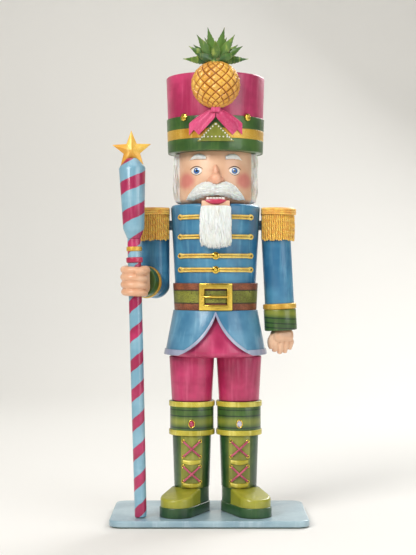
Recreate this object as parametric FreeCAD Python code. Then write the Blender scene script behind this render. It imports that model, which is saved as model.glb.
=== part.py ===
import FreeCAD, Part
import math
import os

from FreeCAD import Placement, Rotation, Vector

# A standing toy-soldier nutcracker of turned and painted wood, 388 mm tall, on a thin base board.
# It faces -Y. "Right" and "left" are the figure's own, so its right hand, which holds the staff, is at -X.
# Frame: millimetres, +Z up, origin at the middle of the felt underside of the base.

# ---- base
base_width = 156.0
base_depth = 96.0
plate_thickness = 5.0
felt_thickness = 1.0
felt_inset = 2.0
base_corner = 10.0
body_x = 5.0  # the body stands this far off the base's middle, to leave room for the staff

# ---- boots and legs
leg_offset = 19.0  # from the body's centre line to each leg's
sole_height = 8.0
foot_height = 12.0
foot_width = 26.0
foot_ahead = 41.0  # from the leg's centre to the toe
foot_behind = 15.0
foot_splay = 24.0  # degrees that each toe turns outwards
toe_drop = 6.0
sole_lip = 0.8
ankle_radius = 14.2
shaft_radius = 15.6
shaft_height = 42.0
cuff_radius = 17.6
boot_cuff_height = 27.0
rim_height = 4.2
rim_proud = 0.9
leg_height = 36.0
leg_radius_top = 18.2
leg_radius_bottom = 16.2
leg_dowel_radius = 4.0
jewel_radius = 2.6
tongue_half_width = 8.6
trim_wall = 1.2

# ---- hips, coat and belt
hip_height = 37.0
hip_radius_top = 31.0
hip_radius_bottom = 38.0
skirt_wall = 3.0
skirt_opening = 68.0  # width of the cut-away front at the hem
skirt_apex = 4.0  # how far below the belt the cut-away starts
piping_width = 4.4
piping_proud = 0.9
torso_height = 84.0
torso_radius_bottom = 31.5
torso_radius_top = 36.0
torso_edge = 2.5
belt_height = 21.5
belt_wall = 1.6
buckle_width = 26.0
buckle_height = 23.0
buckle_bar = 4.6
buckle_wall = 2.2
braid_half_width = 29.0
braid_height = 3.2
braid_wall = 1.3
braid_drops = (10.5, 26.0, 41.0, 52.0)  # below the head, one a row
button_radius = 3.0
button_height = 2.6
coat_dowel_radius = 6.0

# ---- head and jaw
head_radius = 29.5
head_height = 41.4
head_corner = 6.0
slot_width = 23.0
slot_clearance = 0.5
chin_swing = 19.2  # the slot goes this far below the chin, so that it can swing down
mouth_height = 3.0
mouth_gap = 0.5
mouth_end = 7.0  # back wall of the mouth, ahead of the body's centre line
throat_clearance = 2.0
jaw_pivot_y = 8.0
jaw_pivot_drop = 38.0  # below the head
jaw_chin_height = 14.5
chin_inset = 0.5  # the chin stands this far behind the coat's front
jaw_hub_radius = 11.5
jaw_pin_radius = 2.0
jaw_pin_length = 50.0
jaw_opening = 18.0  # degrees
running_clearance = 0.06
handle_top = 46.0  # how far the lever's shoulder stands behind the centre line
handle_tip = 53.0
handle_thickness = 7.5
handle_drop = 28.0  # the lever's tip, below the belt
beard_width = 23.2
beard_length = 33.0
beard_wall = 6.5
beard_stand_off = 2.4
hair_wall = 5.2
eye_offset = 15.0
eye_height = 26.0  # above the chin line
eye_half_width = 4.4
eye_half_height = 3.3
nose_radius = 5.6
nose_height = 20.5
whisker_height = 9.5
whisker_half_width = 21.0
whisker_wall = 4.6
brow_half_width = 8.0

# ---- hat
hat_height = 61.0
hat_radius_bottom = 37.4
hat_radius_top = 39.6
hat_dome = 1.6
band_heights = (9.6, 7.8, 9.8)
band_proud = 0.9
hat_dowel_radius = 5.0
pineapple_half_width = 19.2
pineapple_half_height = 18.6
pineapple_depth = 13.0
leaf_count = 9
leaf_length = 25.0
leaf_width = 6.4
leaf_wall = 1.6
ribbon_spread = 20.5
ribbon_width = 11.0
ornament_wall = 1.4
peak_half_width = 14.5
rosette_offset = 24.5
rosette_radius = 3.0

# ---- arms
arm_radius = 11.8
arm_gap = 0.6
arm_flat = 0.5  # planed off the arm where it faces the coat
shoulder_drop = 16.0
peg_radius = 4.0
peg_in_torso = 16.0
peg_in_arm = 9.0
left_arm_lean = 3.0  # degrees outwards
left_sleeve_length = 63.0
cuff_proud = 1.3
cuff_length = 17.0
cuff_ring_length = 4.6
hand_width = 22.0
hand_depth = 19.0
hand_length = 19.5
epaulette_thickness = 6.0
epaulette_radius = 16.4
fringe_length = 21.5
fringe_wall = 3.0
elbow_drop = 63.0
fist_ahead = 32.0
fist_outboard = 14.8
fist_rise = 3.0
fist_width = 21.5
fist_depth = 22.0
fist_height = 25.0
fist_edge = 6.0
right_cuff_length = 7.5
right_ring_length = 3.6

# ---- staff
staff_lean = 1.4  # degrees outwards
staff_foot_radius = 4.7
staff_grip_radius = 5.2
staff_bore_clearance = 0.08
floor_clearance = 0.5
staff_neck_above_fist = 32.4  # along the staff, from the middle of the fist
staff_taper = 0.65  # the foot's taper ends at this share of the way to the fist
staff_neck = 8.0
staff_head_height = 49.0
staff_head_bottom = 8.3
staff_head_top = 10.4
staff_dome = 6.0
collar_clearance = 1.1
collar_height = 4.2
collar_proud = 1.3
bead_height = 3.6
star_radius = 16.3
star_waist = 6.8
star_thickness = 5.0

# ---- heights, each standing on the one before
z_floor = felt_thickness + plate_thickness
z_foot = z_floor + sole_height
z_shaft = z_foot + foot_height
z_cuff = z_shaft + shaft_height
z_leg = z_cuff + boot_cuff_height
z_hip = z_leg + leg_height
z_torso = z_hip + hip_height
z_head = z_torso + torso_height
z_hat = z_head + head_height
z_crown = z_hat + hat_height
z_shoulder = z_head - shoulder_drop
z_pivot = z_head - jaw_pivot_drop
z_bands = [z_hat]
for band_height in band_heights:
    z_bands.append(z_bands[-1] + band_height)
arm_x = torso_radius_top + arm_gap + arm_radius
jaw_reach = torso_radius_top - chin_inset  # front of the chin, ahead of the centre line
z_handle_tip = z_torso - handle_drop
slot_half = slot_width / 2
up = Vector(0, 0, 1)
across = Vector(1, 0, 0)
forward = Vector(0, -1, 0)
reach = 200.0  # longer than any cut needs
parts = {}


def torso_radius(z):
    share = (z - z_torso) / torso_height
    return torso_radius_bottom + share * (torso_radius_top - torso_radius_bottom)


def hip_radius(z):
    share = (z_torso - z) / hip_height
    return hip_radius_top + share * (hip_radius_bottom - hip_radius_top)


def hat_radius(z):
    share = (z - z_hat) / hat_height
    return hat_radius_bottom + share * (hat_radius_top - hat_radius_bottom)


def head_surface(z):
    return head_radius


def shaft_surface(z):
    share = (z - z_shaft) / shaft_height
    return ankle_radius + share * (shaft_radius - ankle_radius)


def cuff_surface(z):
    return cuff_radius


def outward(shape):
    if shape.Volume < 0:
        shape.reverse()
    return shape


def turned(outline, x=0.0, y=0.0):
    # revolves (radius, height) corners about the upright line through x, y
    corners = [Vector(r, 0, z) for r, z in outline]
    face = Part.Face(Part.makePolygon(corners + corners[:1]))
    solid = outward(face.revolve(Vector(0, 0, 0), up, 360))
    solid.translate(Vector(x, y, 0))
    return solid


def rod(radius, z0, z1, x=0.0, y=0.0):
    return Part.makeCylinder(radius, z1 - z0, Vector(x, y, z0), up)


def sleeve(surface, inner, outer, z0, z1):
    # a turned shell that stands from inner to outer proud of a straight-sided surface
    return turned(
        [
            (surface(z0) + inner, z0),
            (surface(z0) + outer, z0),
            (surface(z1) + outer, z1),
            (surface(z1) + inner, z1),
        ]
    )


def plate(points, direction):
    # extrudes a closed outline; points are Vectors in one plane
    face = Part.Face(Part.makePolygon(points + points[:1]))
    return outward(face.extrude(direction))


def front_plate(points):
    # an outline seen from the front, given as (x, z), swept forward from the centre plane
    return plate([Vector(x, 0, z) for x, z in points], forward * reach)


def front_bar(x0, x1, z0, z1):
    return Part.makeBox(x1 - x0, reach, z1 - z0, Vector(x0, -reach, z0))


def side_plate(points, width):
    # an outline seen from the side, given as (y, z), centred on the body's middle plane
    return plate([Vector(-width / 2, y, z) for y, z in points], across * width)


def front_disc(radius, x, z, stretch=1.0):
    disc = Part.makeCylinder(radius, reach, Vector(0, 0, 0), forward)
    if stretch != 1.0:
        matrix = FreeCAD.Matrix()
        matrix.scale(1.0, 1.0, stretch)
        disc = disc.transformGeometry(matrix)
    disc.translate(Vector(x, 0, z))
    return disc


def ellipsoid(half_x, half_y, half_z, centre):
    matrix = FreeCAD.Matrix()
    matrix.scale(half_x, half_y, half_z)
    ball = Part.makeSphere(1.0).transformGeometry(matrix)
    ball.translate(centre)
    return ball


def rounded(shape, radius, keep):
    # fillets the edges that keep() picks
    edges = [edge for edge in shape.Edges if keep(edge)]
    return shape.makeFillet(radius, edges)


def level(z):
    return lambda edge: all(abs(v.Z - z) < 1e-3 for v in edge.Vertexes)


def mirrored(shape):
    return shape.mirror(Vector(0, 0, 0), across)


def put(name, shape):
    # the figure is drawn about x = 0 and stands at body_x on the base
    solids = [solid.copy() for solid in shape.Solids]
    whole = solids[0] if len(solids) == 1 else Part.makeCompound(solids)
    whole.translate(Vector(body_x, 0, 0))
    parts[name] = whole


def make_base():
    x0 = -base_width / 2 - body_x
    y0 = -base_depth / 2
    dowels = leg_dowels()
    board = Part.makeBox(base_width, base_depth, plate_thickness, Vector(x0, y0, felt_thickness))
    board = rounded(board, base_corner, lambda edge: abs(edge.Length - plate_thickness) < 1e-3)
    board = rounded(board, plate_thickness * 0.3, level(z_floor))
    put("base_plate", board.cut(dowels))
    felt = Part.makeBox(
        base_width - 2 * felt_inset,
        base_depth - 2 * felt_inset,
        felt_thickness,
        Vector(x0 + felt_inset, y0 + felt_inset, 0),
    )
    corner = base_corner - felt_inset
    put("base_felt", rounded(felt, corner, lambda edge: abs(edge.Length - felt_thickness) < 1e-3))


def leg_dowels():
    foot = felt_thickness + plate_thickness / 2
    top = z_hip + hip_height / 2
    return Part.makeCompound([rod(leg_dowel_radius, foot, top, x) for x in (-leg_offset, leg_offset)])


def foot_outline(lip):
    # a stadium-shaped shoe, toe forward, about the leg's own centre
    half = foot_width / 2 + lip
    toe = -(foot_ahead + lip) + half
    heel = foot_behind + lip - half
    return half, toe, heel


def shoe_block(lip, z0, z1):
    half, toe, heel = foot_outline(lip)
    block = Part.makeBox(2 * half, heel - toe, z1 - z0, Vector(-half, toe, z0))
    block = block.fuse([rod(half, z0, z1, 0, toe), rod(half, z0, z1, 0, heel)]).removeSplitter()
    return block


def splayed(shape, side):
    turned_out = shape.copy()
    turned_out.rotate(Vector(0, 0, 0), up, side * foot_splay)
    turned_out.translate(Vector(side * leg_offset, 0, 0))
    return turned_out


def make_boots():
    dowels = leg_dowels()
    soles, feet, shafts, cuffs, rims, jewels, tongues, laces = ([] for _ in range(8))
    sole = rounded(shoe_block(sole_lip, z_floor, z_foot), 1.0, level(z_foot))
    upper = shoe_block(0.0, z_foot, z_shaft)
    ramp = [
        (-ankle_radius, z_shaft),
        (-foot_ahead - 1, z_shaft - toe_drop),
        (-foot_ahead - 1, z_shaft + 1),
        (-ankle_radius, z_shaft + 1),
    ]
    upper = upper.cut(side_plate(ramp, 2 * foot_width))
    toe_edges = [e for e in upper.Edges if e.CenterOfMass.z > z_shaft - toe_drop - 1 and e.Length > 4]
    toe_edges = [e for e in toe_edges if e.CenterOfMass.y < -ankle_radius]
    upper = upper.makeFillet(2.4, [e for e in toe_edges if abs(e.Vertexes[0].X + e.Vertexes[-1].X) > 1])
    shaft = sleeve(shaft_surface, -ankle_radius / 2, 0, z_shaft, z_cuff)
    shaft = shaft.fuse(rod(ankle_radius / 2 + 1, z_shaft, z_cuff)).removeSplitter()
    tongue = sleeve(shaft_surface, 0, trim_wall, z_shaft, z_cuff)
    tongue = tongue.common(front_bar(-tongue_half_width, tongue_half_width, z_shaft, z_cuff))
    cuff = rod(cuff_radius, z_cuff, z_leg)
    rim = [
        sleeve(cuff_surface, 0, rim_proud, z_cuff, z_cuff + rim_height),
        sleeve(cuff_surface, 0, rim_proud, z_leg - rim_height, z_leg),
    ]
    jewel = front_disc(jewel_radius, 0, z_cuff + rim_height + jewel_radius + 1)
    jewel = jewel.common(sleeve(cuff_surface, 0, 2.2, z_cuff, z_leg))
    for side in (-1, 1):
        x = Vector(side * leg_offset, 0, 0)
        soles.append(splayed(sole, side).cut(dowels))
        feet.append(splayed(upper, side).cut(dowels))
        shafts.append(shaft.translated(x).cut(dowels))
        cuffs.append(cuff.translated(x).cut(dowels))
        rims += [one.translated(x) for one in rim]
        jewels.append(jewel.translated(x))
        tongues.append(tongue.translated(x))
        laces += [one.translated(x) for one in boot_laces()]
    put("boot_soles", Part.makeCompound(soles))
    put("boot_feet", Part.makeCompound(feet))
    put("boot_shafts", Part.makeCompound(shafts))
    put("boot_cuffs", Part.makeCompound(cuffs))
    put("boot_cuff_rims", Part.makeCompound(rims))
    put("boot_cuff_jewels", Part.makeCompound(jewels))
    put("boot_tongues", Part.makeCompound(tongues))
    put("boot_laces", Part.makeCompound(laces))
    put("leg_dowels", dowels)


def boot_laces():
    # two crossed laces on each tongue
    shell = sleeve(shaft_surface, trim_wall, 2 * trim_wall, z_shaft + 1, z_cuff - 1)
    made = []
    for share in (0.3, 0.72):
        z = z_shaft + share * shaft_height
        half = shaft_height * 0.15
        cross = None
        for slope in (-1, 1):
            x0, x1 = -slope * tongue_half_width * 0.8, slope * tongue_half_width * 0.8
            bar = front_plate([(x0, z - half - 1), (x1, z + half - 1), (x1, z + half + 1), (x0, z - half + 1)])
            cross = bar if cross is None else cross.fuse(bar)
        made.append(cross.common(shell))
    return made


def make_legs():
    dowels = leg_dowels()
    legs = []
    for side in (-1, 1):
        outline = [(0, z_leg), (leg_radius_bottom, z_leg), (leg_radius_top, z_hip), (0, z_hip)]
        legs.append(turned(outline, side * leg_offset).cut(dowels))
    put("trouser_legs", Part.makeCompound(legs))
    hips = turned([(0, z_hip), (hip_radius_bottom, z_hip), (hip_radius_top, z_torso), (0, z_torso)])
    hips = rounded(hips, 4.0, level(z_hip))
    put("hip_block", hips.cut(dowels).cut(coat_dowel()))


def coat_dowel():
    return rod(coat_dowel_radius, z_torso - hip_height / 3, z_torso + hip_height / 2)


def cut_away(margin):
    # the swallow-tail front of the skirt: two arcs that fall from the belt to the hem
    half = skirt_opening / 2 + margin
    top = z_torso - skirt_apex + margin
    hem = z_hip
    middle_x, middle_z = half * 0.34, hem + (top - hem) * 0.42
    left = Part.Arc(Vector(-half, 0, hem), Vector(-middle_x, 0, middle_z), Vector(0, 0, top))
    right = Part.Arc(Vector(0, 0, top), Vector(middle_x, 0, middle_z), Vector(half, 0, hem))
    drop = hem - 5
    sides = Part.makePolygon(
        [Vector(half, 0, hem), Vector(half, 0, drop), Vector(-half, 0, drop), Vector(-half, 0, hem)]
    )
    wire = Part.Wire([left.toShape(), right.toShape()] + sides.Edges)
    return outward(Part.Face(wire).extrude(forward * reach))


def make_coat():
    hem = z_hip + 1.6
    skirt = sleeve(hip_radius, 0, skirt_wall, hem, z_torso)
    hips_bare = cut_away(0)
    skirt = skirt.cut(hips_bare)
    put("coat_skirt", skirt)
    edging = sleeve(hip_radius, skirt_wall, skirt_wall + piping_proud, hem, z_torso - 1)
    hem_strip = edging.common(rod(reach, hem, hem + piping_width)).cut(hips_bare)
    front_strip = edging.common(cut_away(piping_width)).cut(hips_bare)
    put("skirt_piping", hem_strip.fuse(front_strip).removeSplitter())
    put("torso", torso_block())
    put("body_dowels", Part.makeCompound([coat_dowel(), neck_dowel(), hat_dowel()]))
    put("jaw_pin", jaw_pin())
    strap = sleeve(torso_radius, 0, belt_wall, z_torso, z_torso + belt_height)
    put("belt", strap)
    middle = z_torso + belt_height / 2
    half_w, half_h = buckle_width / 2, buckle_height / 2
    shell = sleeve(torso_radius, belt_wall, belt_wall + buckle_wall, z_torso - 3, z_torso + belt_height + 3)
    frame = shell.common(front_bar(-half_w, half_w, middle - half_h, middle + half_h))
    window_w, window_h = half_w - buckle_bar, half_h - buckle_bar
    frame = frame.cut(front_bar(-window_w, window_w, middle - window_h, middle + window_h))
    prong = sleeve(torso_radius, belt_wall, belt_wall + 1.2, z_torso, z_torso + belt_height)
    prong = prong.common(front_bar(-window_w, window_w * 0.4, middle - 1.4, middle + 1.4))
    put("belt_buckle", frame.fuse(prong).cut(skirt))
    braids = []
    for row, drop in enumerate(braid_drops):
        z = z_head - drop
        shell = sleeve(torso_radius, 0, braid_wall, z - braid_height / 2, z + braid_height / 2)
        inner = slot_half + 1.0 if row < 2 else button_radius + 0.2
        for side in (-1, 1):
            x0, x1 = sorted((side * inner, side * braid_half_width))
            braids.append(shell.common(front_bar(x0, x1, z - braid_height, z + braid_height)))
    put("coat_braids", Part.makeCompound(braids))
    buttons = []
    for drop in braid_drops[2:]:
        z = z_head - drop
        shell = sleeve(torso_radius, 0, button_height, z - button_radius, z + button_radius)
        buttons.append(front_disc(button_radius, 0, z).common(shell))
    put("coat_buttons", Part.makeCompound(buttons))


def neck_dowel():
    return rod(4.0, z_head - 8.0, z_head + 12.0, 0, head_radius / 2)


def hat_dowel():
    return rod(hat_dowel_radius, z_hat - 12.0, z_hat + 12.0)


def jaw_pin():
    half = jaw_pin_length / 2
    return Part.makeCylinder(jaw_pin_radius, jaw_pin_length, Vector(-half, jaw_pivot_y, z_pivot), across)


def torso_block():
    block = turned(
        [(0, z_torso), (torso_radius_bottom, z_torso), (torso_radius_top, z_head), (0, z_head)]
    )
    block = rounded(block, torso_edge, level(z_head))
    chin_foot = z_head + 2.5 - jaw_chin_height
    floor = z_pivot - jaw_hub_radius - 3.5
    ceiling = z_pivot + jaw_hub_radius + 16.5
    throat = -1.5  # the slot is open upwards ahead of this
    slot = [
        (-reach, chin_foot - chin_swing + chin_inset),
        (-jaw_reach, chin_foot - chin_swing),
        (-4.0, floor),
        (reach, floor),
        (reach, ceiling),
        (throat, ceiling),
        (throat, z_head + 5),
        (-reach, z_head + 5),
    ]
    block = block.cut(side_plate(slot, slot_width))
    block = block.cut([jaw_pin(), coat_dowel(), neck_dowel()])
    length = peg_in_torso + arm_gap + running_clearance
    for side in (-1, 1):
        start = Vector(side * (torso_radius_top + arm_gap - length), 0, z_shoulder)
        bore = Part.makeCylinder(peg_radius + running_clearance, length, start, across * side)
        block = block.cut(bore)
    return block


def make_jaw():
    chin_top = z_head + mouth_height - mouth_gap
    chin_foot = chin_top - jaw_chin_height
    width = slot_width - 2 * slot_clearance
    outline = [
        (-jaw_reach, chin_foot),
        (-jaw_reach, chin_top),
        (-mouth_end - throat_clearance, chin_top),
        (2.0, z_pivot + 14.0),
        (handle_top - 10.0, z_pivot + 18.0),
        (handle_top, z_pivot + 13.0),
        (handle_tip, z_handle_tip),
        (handle_tip - handle_thickness, z_handle_tip),
        (handle_top - handle_thickness, z_pivot - 8.0),
        (handle_top - handle_thickness - 8.0, z_pivot - jaw_hub_radius),
        (jaw_pivot_y - 2.0, z_pivot - jaw_hub_radius),
        (-4.0, z_pivot - 8.0),
    ]
    lever = side_plate(outline, width)
    corners = [e for e in lever.Edges if abs(e.Length - width) < 1e-3 and e.CenterOfMass.y > handle_top - 12]
    lever = lever.makeFillet(3.0, corners)
    pivot = Vector(-reach / 2, jaw_pivot_y, z_pivot)
    lever = lever.cut(Part.makeCylinder(jaw_pin_radius + running_clearance, reach, pivot, across))
    put("jaw_lever", lever)
    lip = side_plate(
        [
            (-jaw_reach, chin_top - 3.2),
            (-jaw_reach - 1.4, chin_top - 2.6),
            (-jaw_reach - 1.8, chin_top - 0.8),
            (-jaw_reach - 1.0, chin_top + 0.6),
            (-jaw_reach, chin_top + 0.9),
        ],
        17.0,
    )
    put("lower_lip", lip)
    teeth = []
    count = 6
    pitch = 14.4 / count
    for i in range(count):
        x = -7.2 + i * pitch
        teeth.append(Part.makeBox(pitch - 0.25, 2.6, 2.2, Vector(x, -jaw_reach + 0.1, chin_top)))
    put("jaw_teeth", Part.makeCompound(teeth))
    top = chin_top - 3.6
    low = z_head - beard_length
    back = -jaw_reach
    hang = back - beard_stand_off
    front = hang - beard_wall
    beard = side_plate(
        [
            (back, top),
            (back - 3.0, top),
            (front, top - 6.0),
            (front, low + 5.0),
            (front + 3.0, low),
            (hang, low),
            (hang, chin_foot + 1.0),
            (back, chin_foot + 2.5),
        ],
        beard_width,
    )
    round_foot = [e for e in beard.Edges if level(low)(e) and e.Length < beard_wall]
    put("beard", beard.makeFillet(1.2, round_foot) if round_foot else beard)


def nose_solid():
    ball = ellipsoid(nose_radius, 7.0, nose_radius * 1.15, Vector(0, -head_radius, z_head + nose_height))
    return ball.cut(rod(head_radius, z_head, z_hat))


def make_head():
    block = turned([(0, z_head), (head_radius, z_head), (head_radius, z_hat), (0, z_hat)])
    block = rounded(block, head_corner, level(z_head))
    notch = [
        (-reach, z_head - 1),
        (-mouth_end, z_head - 1),
        (-mouth_end, z_head + mouth_height),
        (-reach, z_head + mouth_height),
    ]
    block = block.cut(side_plate(notch, slot_width)).cut([neck_dowel(), hat_dowel()])
    put("head", block)
    nose = nose_solid()
    put("nose", nose)
    shell = sleeve(head_surface, 0, 0.9, z_head + head_corner, z_hat)
    z_eye = z_head + eye_height
    eyes = []
    for side in (-1, 1):
        disc = front_disc(eye_half_width, side * eye_offset, z_eye, eye_half_height / eye_half_width)
        eyes.append(disc.common(shell))
    put("eyes", Part.makeCompound(eyes))
    brow_shell = sleeve(head_surface, 0, 2.2, z_head + head_corner, z_hat)
    brows = []
    for side in (-1, 1):
        x0, x1 = sorted((side * (eye_offset - brow_half_width + 1), side * (eye_offset + brow_half_width)))
        brows.append(brow_shell.common(front_bar(x0, x1, z_eye + 7.0, z_eye + 10.5)))
    put("eyebrows", Part.makeCompound(brows))
    z0 = z_head + head_corner - 0.6
    drop = whisker_height
    points = [
        (0, z0 + drop + 1.0),
        (whisker_half_width * 0.55, z0 + drop),
        (whisker_half_width, z0 + drop * 0.3),
        (whisker_half_width * 0.8, z0 + 0.6),
        (whisker_half_width * 0.35, z0 + 0.6),
        (0, z0 + 2.0),
    ]
    whole = points + [(-x, z) for x, z in reversed(points[1:-1])]
    whiskers = sleeve(head_surface, 0, whisker_wall, z0, z_hat).common(front_plate(whole))
    put("moustache", whiskers.cut(nose))
    hair = sleeve(head_surface, 0, hair_wall, z_head + 0.3, z_hat)
    behind = Part.makeBox(4 * head_radius, 2 * head_radius, reach, Vector(-2 * head_radius, -6.0, z_head))
    put("hair", hair.common(behind).cut(block))


def leaf_fan():
    # strap leaves that fan out from the pineapple's top, in a front and a back row
    root = Vector(0, -hat_radius_top + pineapple_depth * 0.2, z_pineapple() + pineapple_half_height - 2.0)
    crown = Part.makeCone(7.5, 5.0, 7.0, root, up)
    for i in range(leaf_count):
        angle = math.radians(-86 + 172 * i / (leaf_count - 1))
        length = leaf_length * (0.86 if i % 2 else 1.0)
        half = leaf_width / 2
        blade = [(0, -half), (length * 0.45, -half * 0.9), (length, 0), (length * 0.45, half * 0.9), (0, half)]
        lift = Vector(0, (i % 3 - 1) * leaf_wall * 1.2, 3.0)
        corners = [
            root
            + lift
            + Vector(u * math.sin(angle) + v * math.cos(angle), 0, u * math.cos(angle) - v * math.sin(angle))
            for u, v in blade
        ]
        crown = crown.fuse(plate(corners, Vector(0, leaf_wall, 0)))
    return crown.removeSplitter()


def z_pineapple():
    return z_bands[-1] + 4.8 + pineapple_half_height


def make_hat():
    crown = turned(
        [
            (0, z_hat),
            (hat_radius_bottom, z_hat),
            (hat_radius_top, z_crown),
            (hat_radius_top * 0.6, z_crown + hat_dome),
            (0, z_crown + hat_dome),
        ]
    )
    put("hat_crown", crown.cut(hat_dowel()))
    bands = [sleeve(hat_radius, 0, band_proud, z_bands[i], z_bands[i + 1]) for i in range(3)]
    put("hat_green_bands", Part.makeCompound([bands[0], bands[2]]))
    put("hat_gold_band", bands[1])
    rim = hat_radius(z_pineapple())
    fruit = ellipsoid(
        pineapple_half_width,
        pineapple_depth,
        pineapple_half_height,
        Vector(0, -rim, z_pineapple()),
    ).cut(crown)
    leaves = leaf_fan().cut([crown, fruit])
    put("pineapple", max(fruit.Solids, key=lambda s: s.Volume))
    put("pineapple_leaves", max(leaves.Solids, key=lambda s: s.Volume))
    z_knot = z_bands[3] + 3.0
    z_tip = z_bands[1] + 1.5
    shell = sleeve(hat_radius, band_proud, band_proud + ornament_wall, z_hat, z_bands[3] + 6.0)
    tails = []
    for side in (-1, 1):
        inner, outer = side * (ribbon_spread - ribbon_width), side * ribbon_spread
        tail = [
            (side * 0.6, z_knot),
            (side * 0.6, z_knot - 5.5),
            (inner, z_tip),
            (inner + side * ribbon_width * 0.5, z_tip + 2.0),
            (outer, z_tip),
            (side * 11.0, z_knot),
        ]
        tails.append(shell.common(front_plate(tail)))
    put("hat_ribbon_tails", Part.makeCompound(tails))
    peak_foot = z_bands[1] - 2.5
    peak = [(0, z_knot - 8.5), (-peak_half_width, peak_foot), (peak_half_width, peak_foot)]
    put("hat_peak", shell.common(front_plate(peak)).cut(Part.makeCompound(tails)))
    z_rosette = z_bands[3] - 1.0
    rosettes = []
    for side in (-1, 1):
        disc = front_disc(rosette_radius, side * rosette_offset, z_rosette)
        rosettes.append(disc.common(sleeve(hat_radius, band_proud, band_proud + 1.8, z_bands[2], z_crown)))
    put("hat_rosettes", Part.makeCompound(rosettes))


def shoulder_trim(side):
    # epaulette board on the shoulder and the fringe ring below it, both flat beside the torso
    flat = torso_radius_top + arm_gap + arm_flat
    keep = Part.makeBox(reach, reach, reach, Vector(flat, -reach / 2, z_torso))
    x = arm_x + 0.6
    top = z_head - 1.6
    board_foot = top - epaulette_thickness
    board = rod(epaulette_radius, board_foot, top, x)
    board = rounded(board, 1.8, level(top)).common(keep)
    fringe = rod(arm_radius + fringe_wall, board_foot - fringe_length, board_foot, x).common(keep)
    if side < 0:
        board, fringe = mirrored(board), mirrored(fringe)
    return board, fringe


def shoulder_peg(side):
    start = Vector(side * (torso_radius_top + arm_gap - peg_in_torso), 0, z_shoulder)
    return Part.makeCylinder(peg_radius, peg_in_torso + peg_in_arm, start, across * side)


def left_arm_local(shape):
    # drawn hanging straight from the shoulder's centre, then leaned outwards
    placed = shape.copy()
    placed.rotate(Vector(0, 0, 0), Vector(0, -1, 0), left_arm_lean)
    placed.translate(Vector(arm_x, 0, z_shoulder))
    return placed


def make_left_arm():
    board, fringe = shoulder_trim(1)
    peg = shoulder_peg(1)
    flat = torso_radius_top + arm_gap + arm_flat
    keep = Part.makeBox(reach, reach, 2 * reach, Vector(flat, -reach / 2, 0))
    top = z_head - 1.6 - epaulette_thickness - z_shoulder
    arm = Part.makeCylinder(arm_radius, left_sleeve_length + top + 2, Vector(0, 0, -left_sleeve_length))
    arm = left_arm_local(arm).common(keep).cut([board, peg])
    below = Part.makeBox(reach, reach, reach, Vector(0, -reach / 2, z_head - 1.6 - epaulette_thickness))
    arm = arm.cut(below)
    put("left_arm", arm)
    put("left_fringe", fringe.cut([arm, peg]))
    put("left_epaulette", board.cut(peg))
    put("left_shoulder_peg", peg)
    z = -left_sleeve_length
    ring = Part.makeCylinder(arm_radius + cuff_proud + 0.4, cuff_ring_length, Vector(0, 0, z - cuff_ring_length))
    put("left_cuff_ring", left_arm_local(rounded(ring, 1.2, lambda e: e.Length > 20)))
    z -= cuff_ring_length
    cuff = Part.makeCylinder(arm_radius + cuff_proud, cuff_length, Vector(0, 0, z - cuff_length))
    put("left_cuff", left_arm_local(cuff))
    z -= cuff_length
    palm = Part.makeBox(
        hand_width, hand_depth, hand_length, Vector(-hand_width / 2, -hand_depth / 2, z - hand_length)
    )
    palm = rounded(palm, 6.0, lambda e: level(z - hand_length)(e) or abs(e.Length - hand_length) < 1e-3)
    put("left_hand", left_arm_local(palm))


def fist_centre():
    return Vector(-arm_x - fist_outboard, -fist_ahead, z_shoulder - elbow_drop + 16.0 + fist_rise)


def elbow_centre():
    return Vector(-arm_x, 0, z_shoulder - elbow_drop + 16.0)


def along_forearm(shape):
    # drawn along +X from the elbow, then turned towards the fist
    run = fist_centre() - elbow_centre()
    heading = math.degrees(math.atan2(run.y, run.x))
    rise = math.degrees(math.atan2(run.z, math.hypot(run.x, run.y)))
    placed = shape.copy()
    placed.rotate(Vector(0, 0, 0), Vector(0, -1, 0), rise)
    placed.rotate(Vector(0, 0, 0), up, heading)
    placed.translate(elbow_centre())
    return placed


def staff_local(shape):
    # drawn upright with its foot at the origin, then leaned outwards about its foot
    placed = shape.copy()
    placed.rotate(Vector(0, 0, 0), Vector(0, -1, 0), staff_lean)
    placed.translate(staff_foot())
    return placed


def staff_foot():
    foot_z = z_floor + floor_clearance
    fist = fist_centre()
    # leaning about -Y by staff_lean moves the top towards -X
    return Vector(fist.x + math.tan(math.radians(staff_lean)) * (fist.z - foot_z), fist.y, foot_z)


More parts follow.
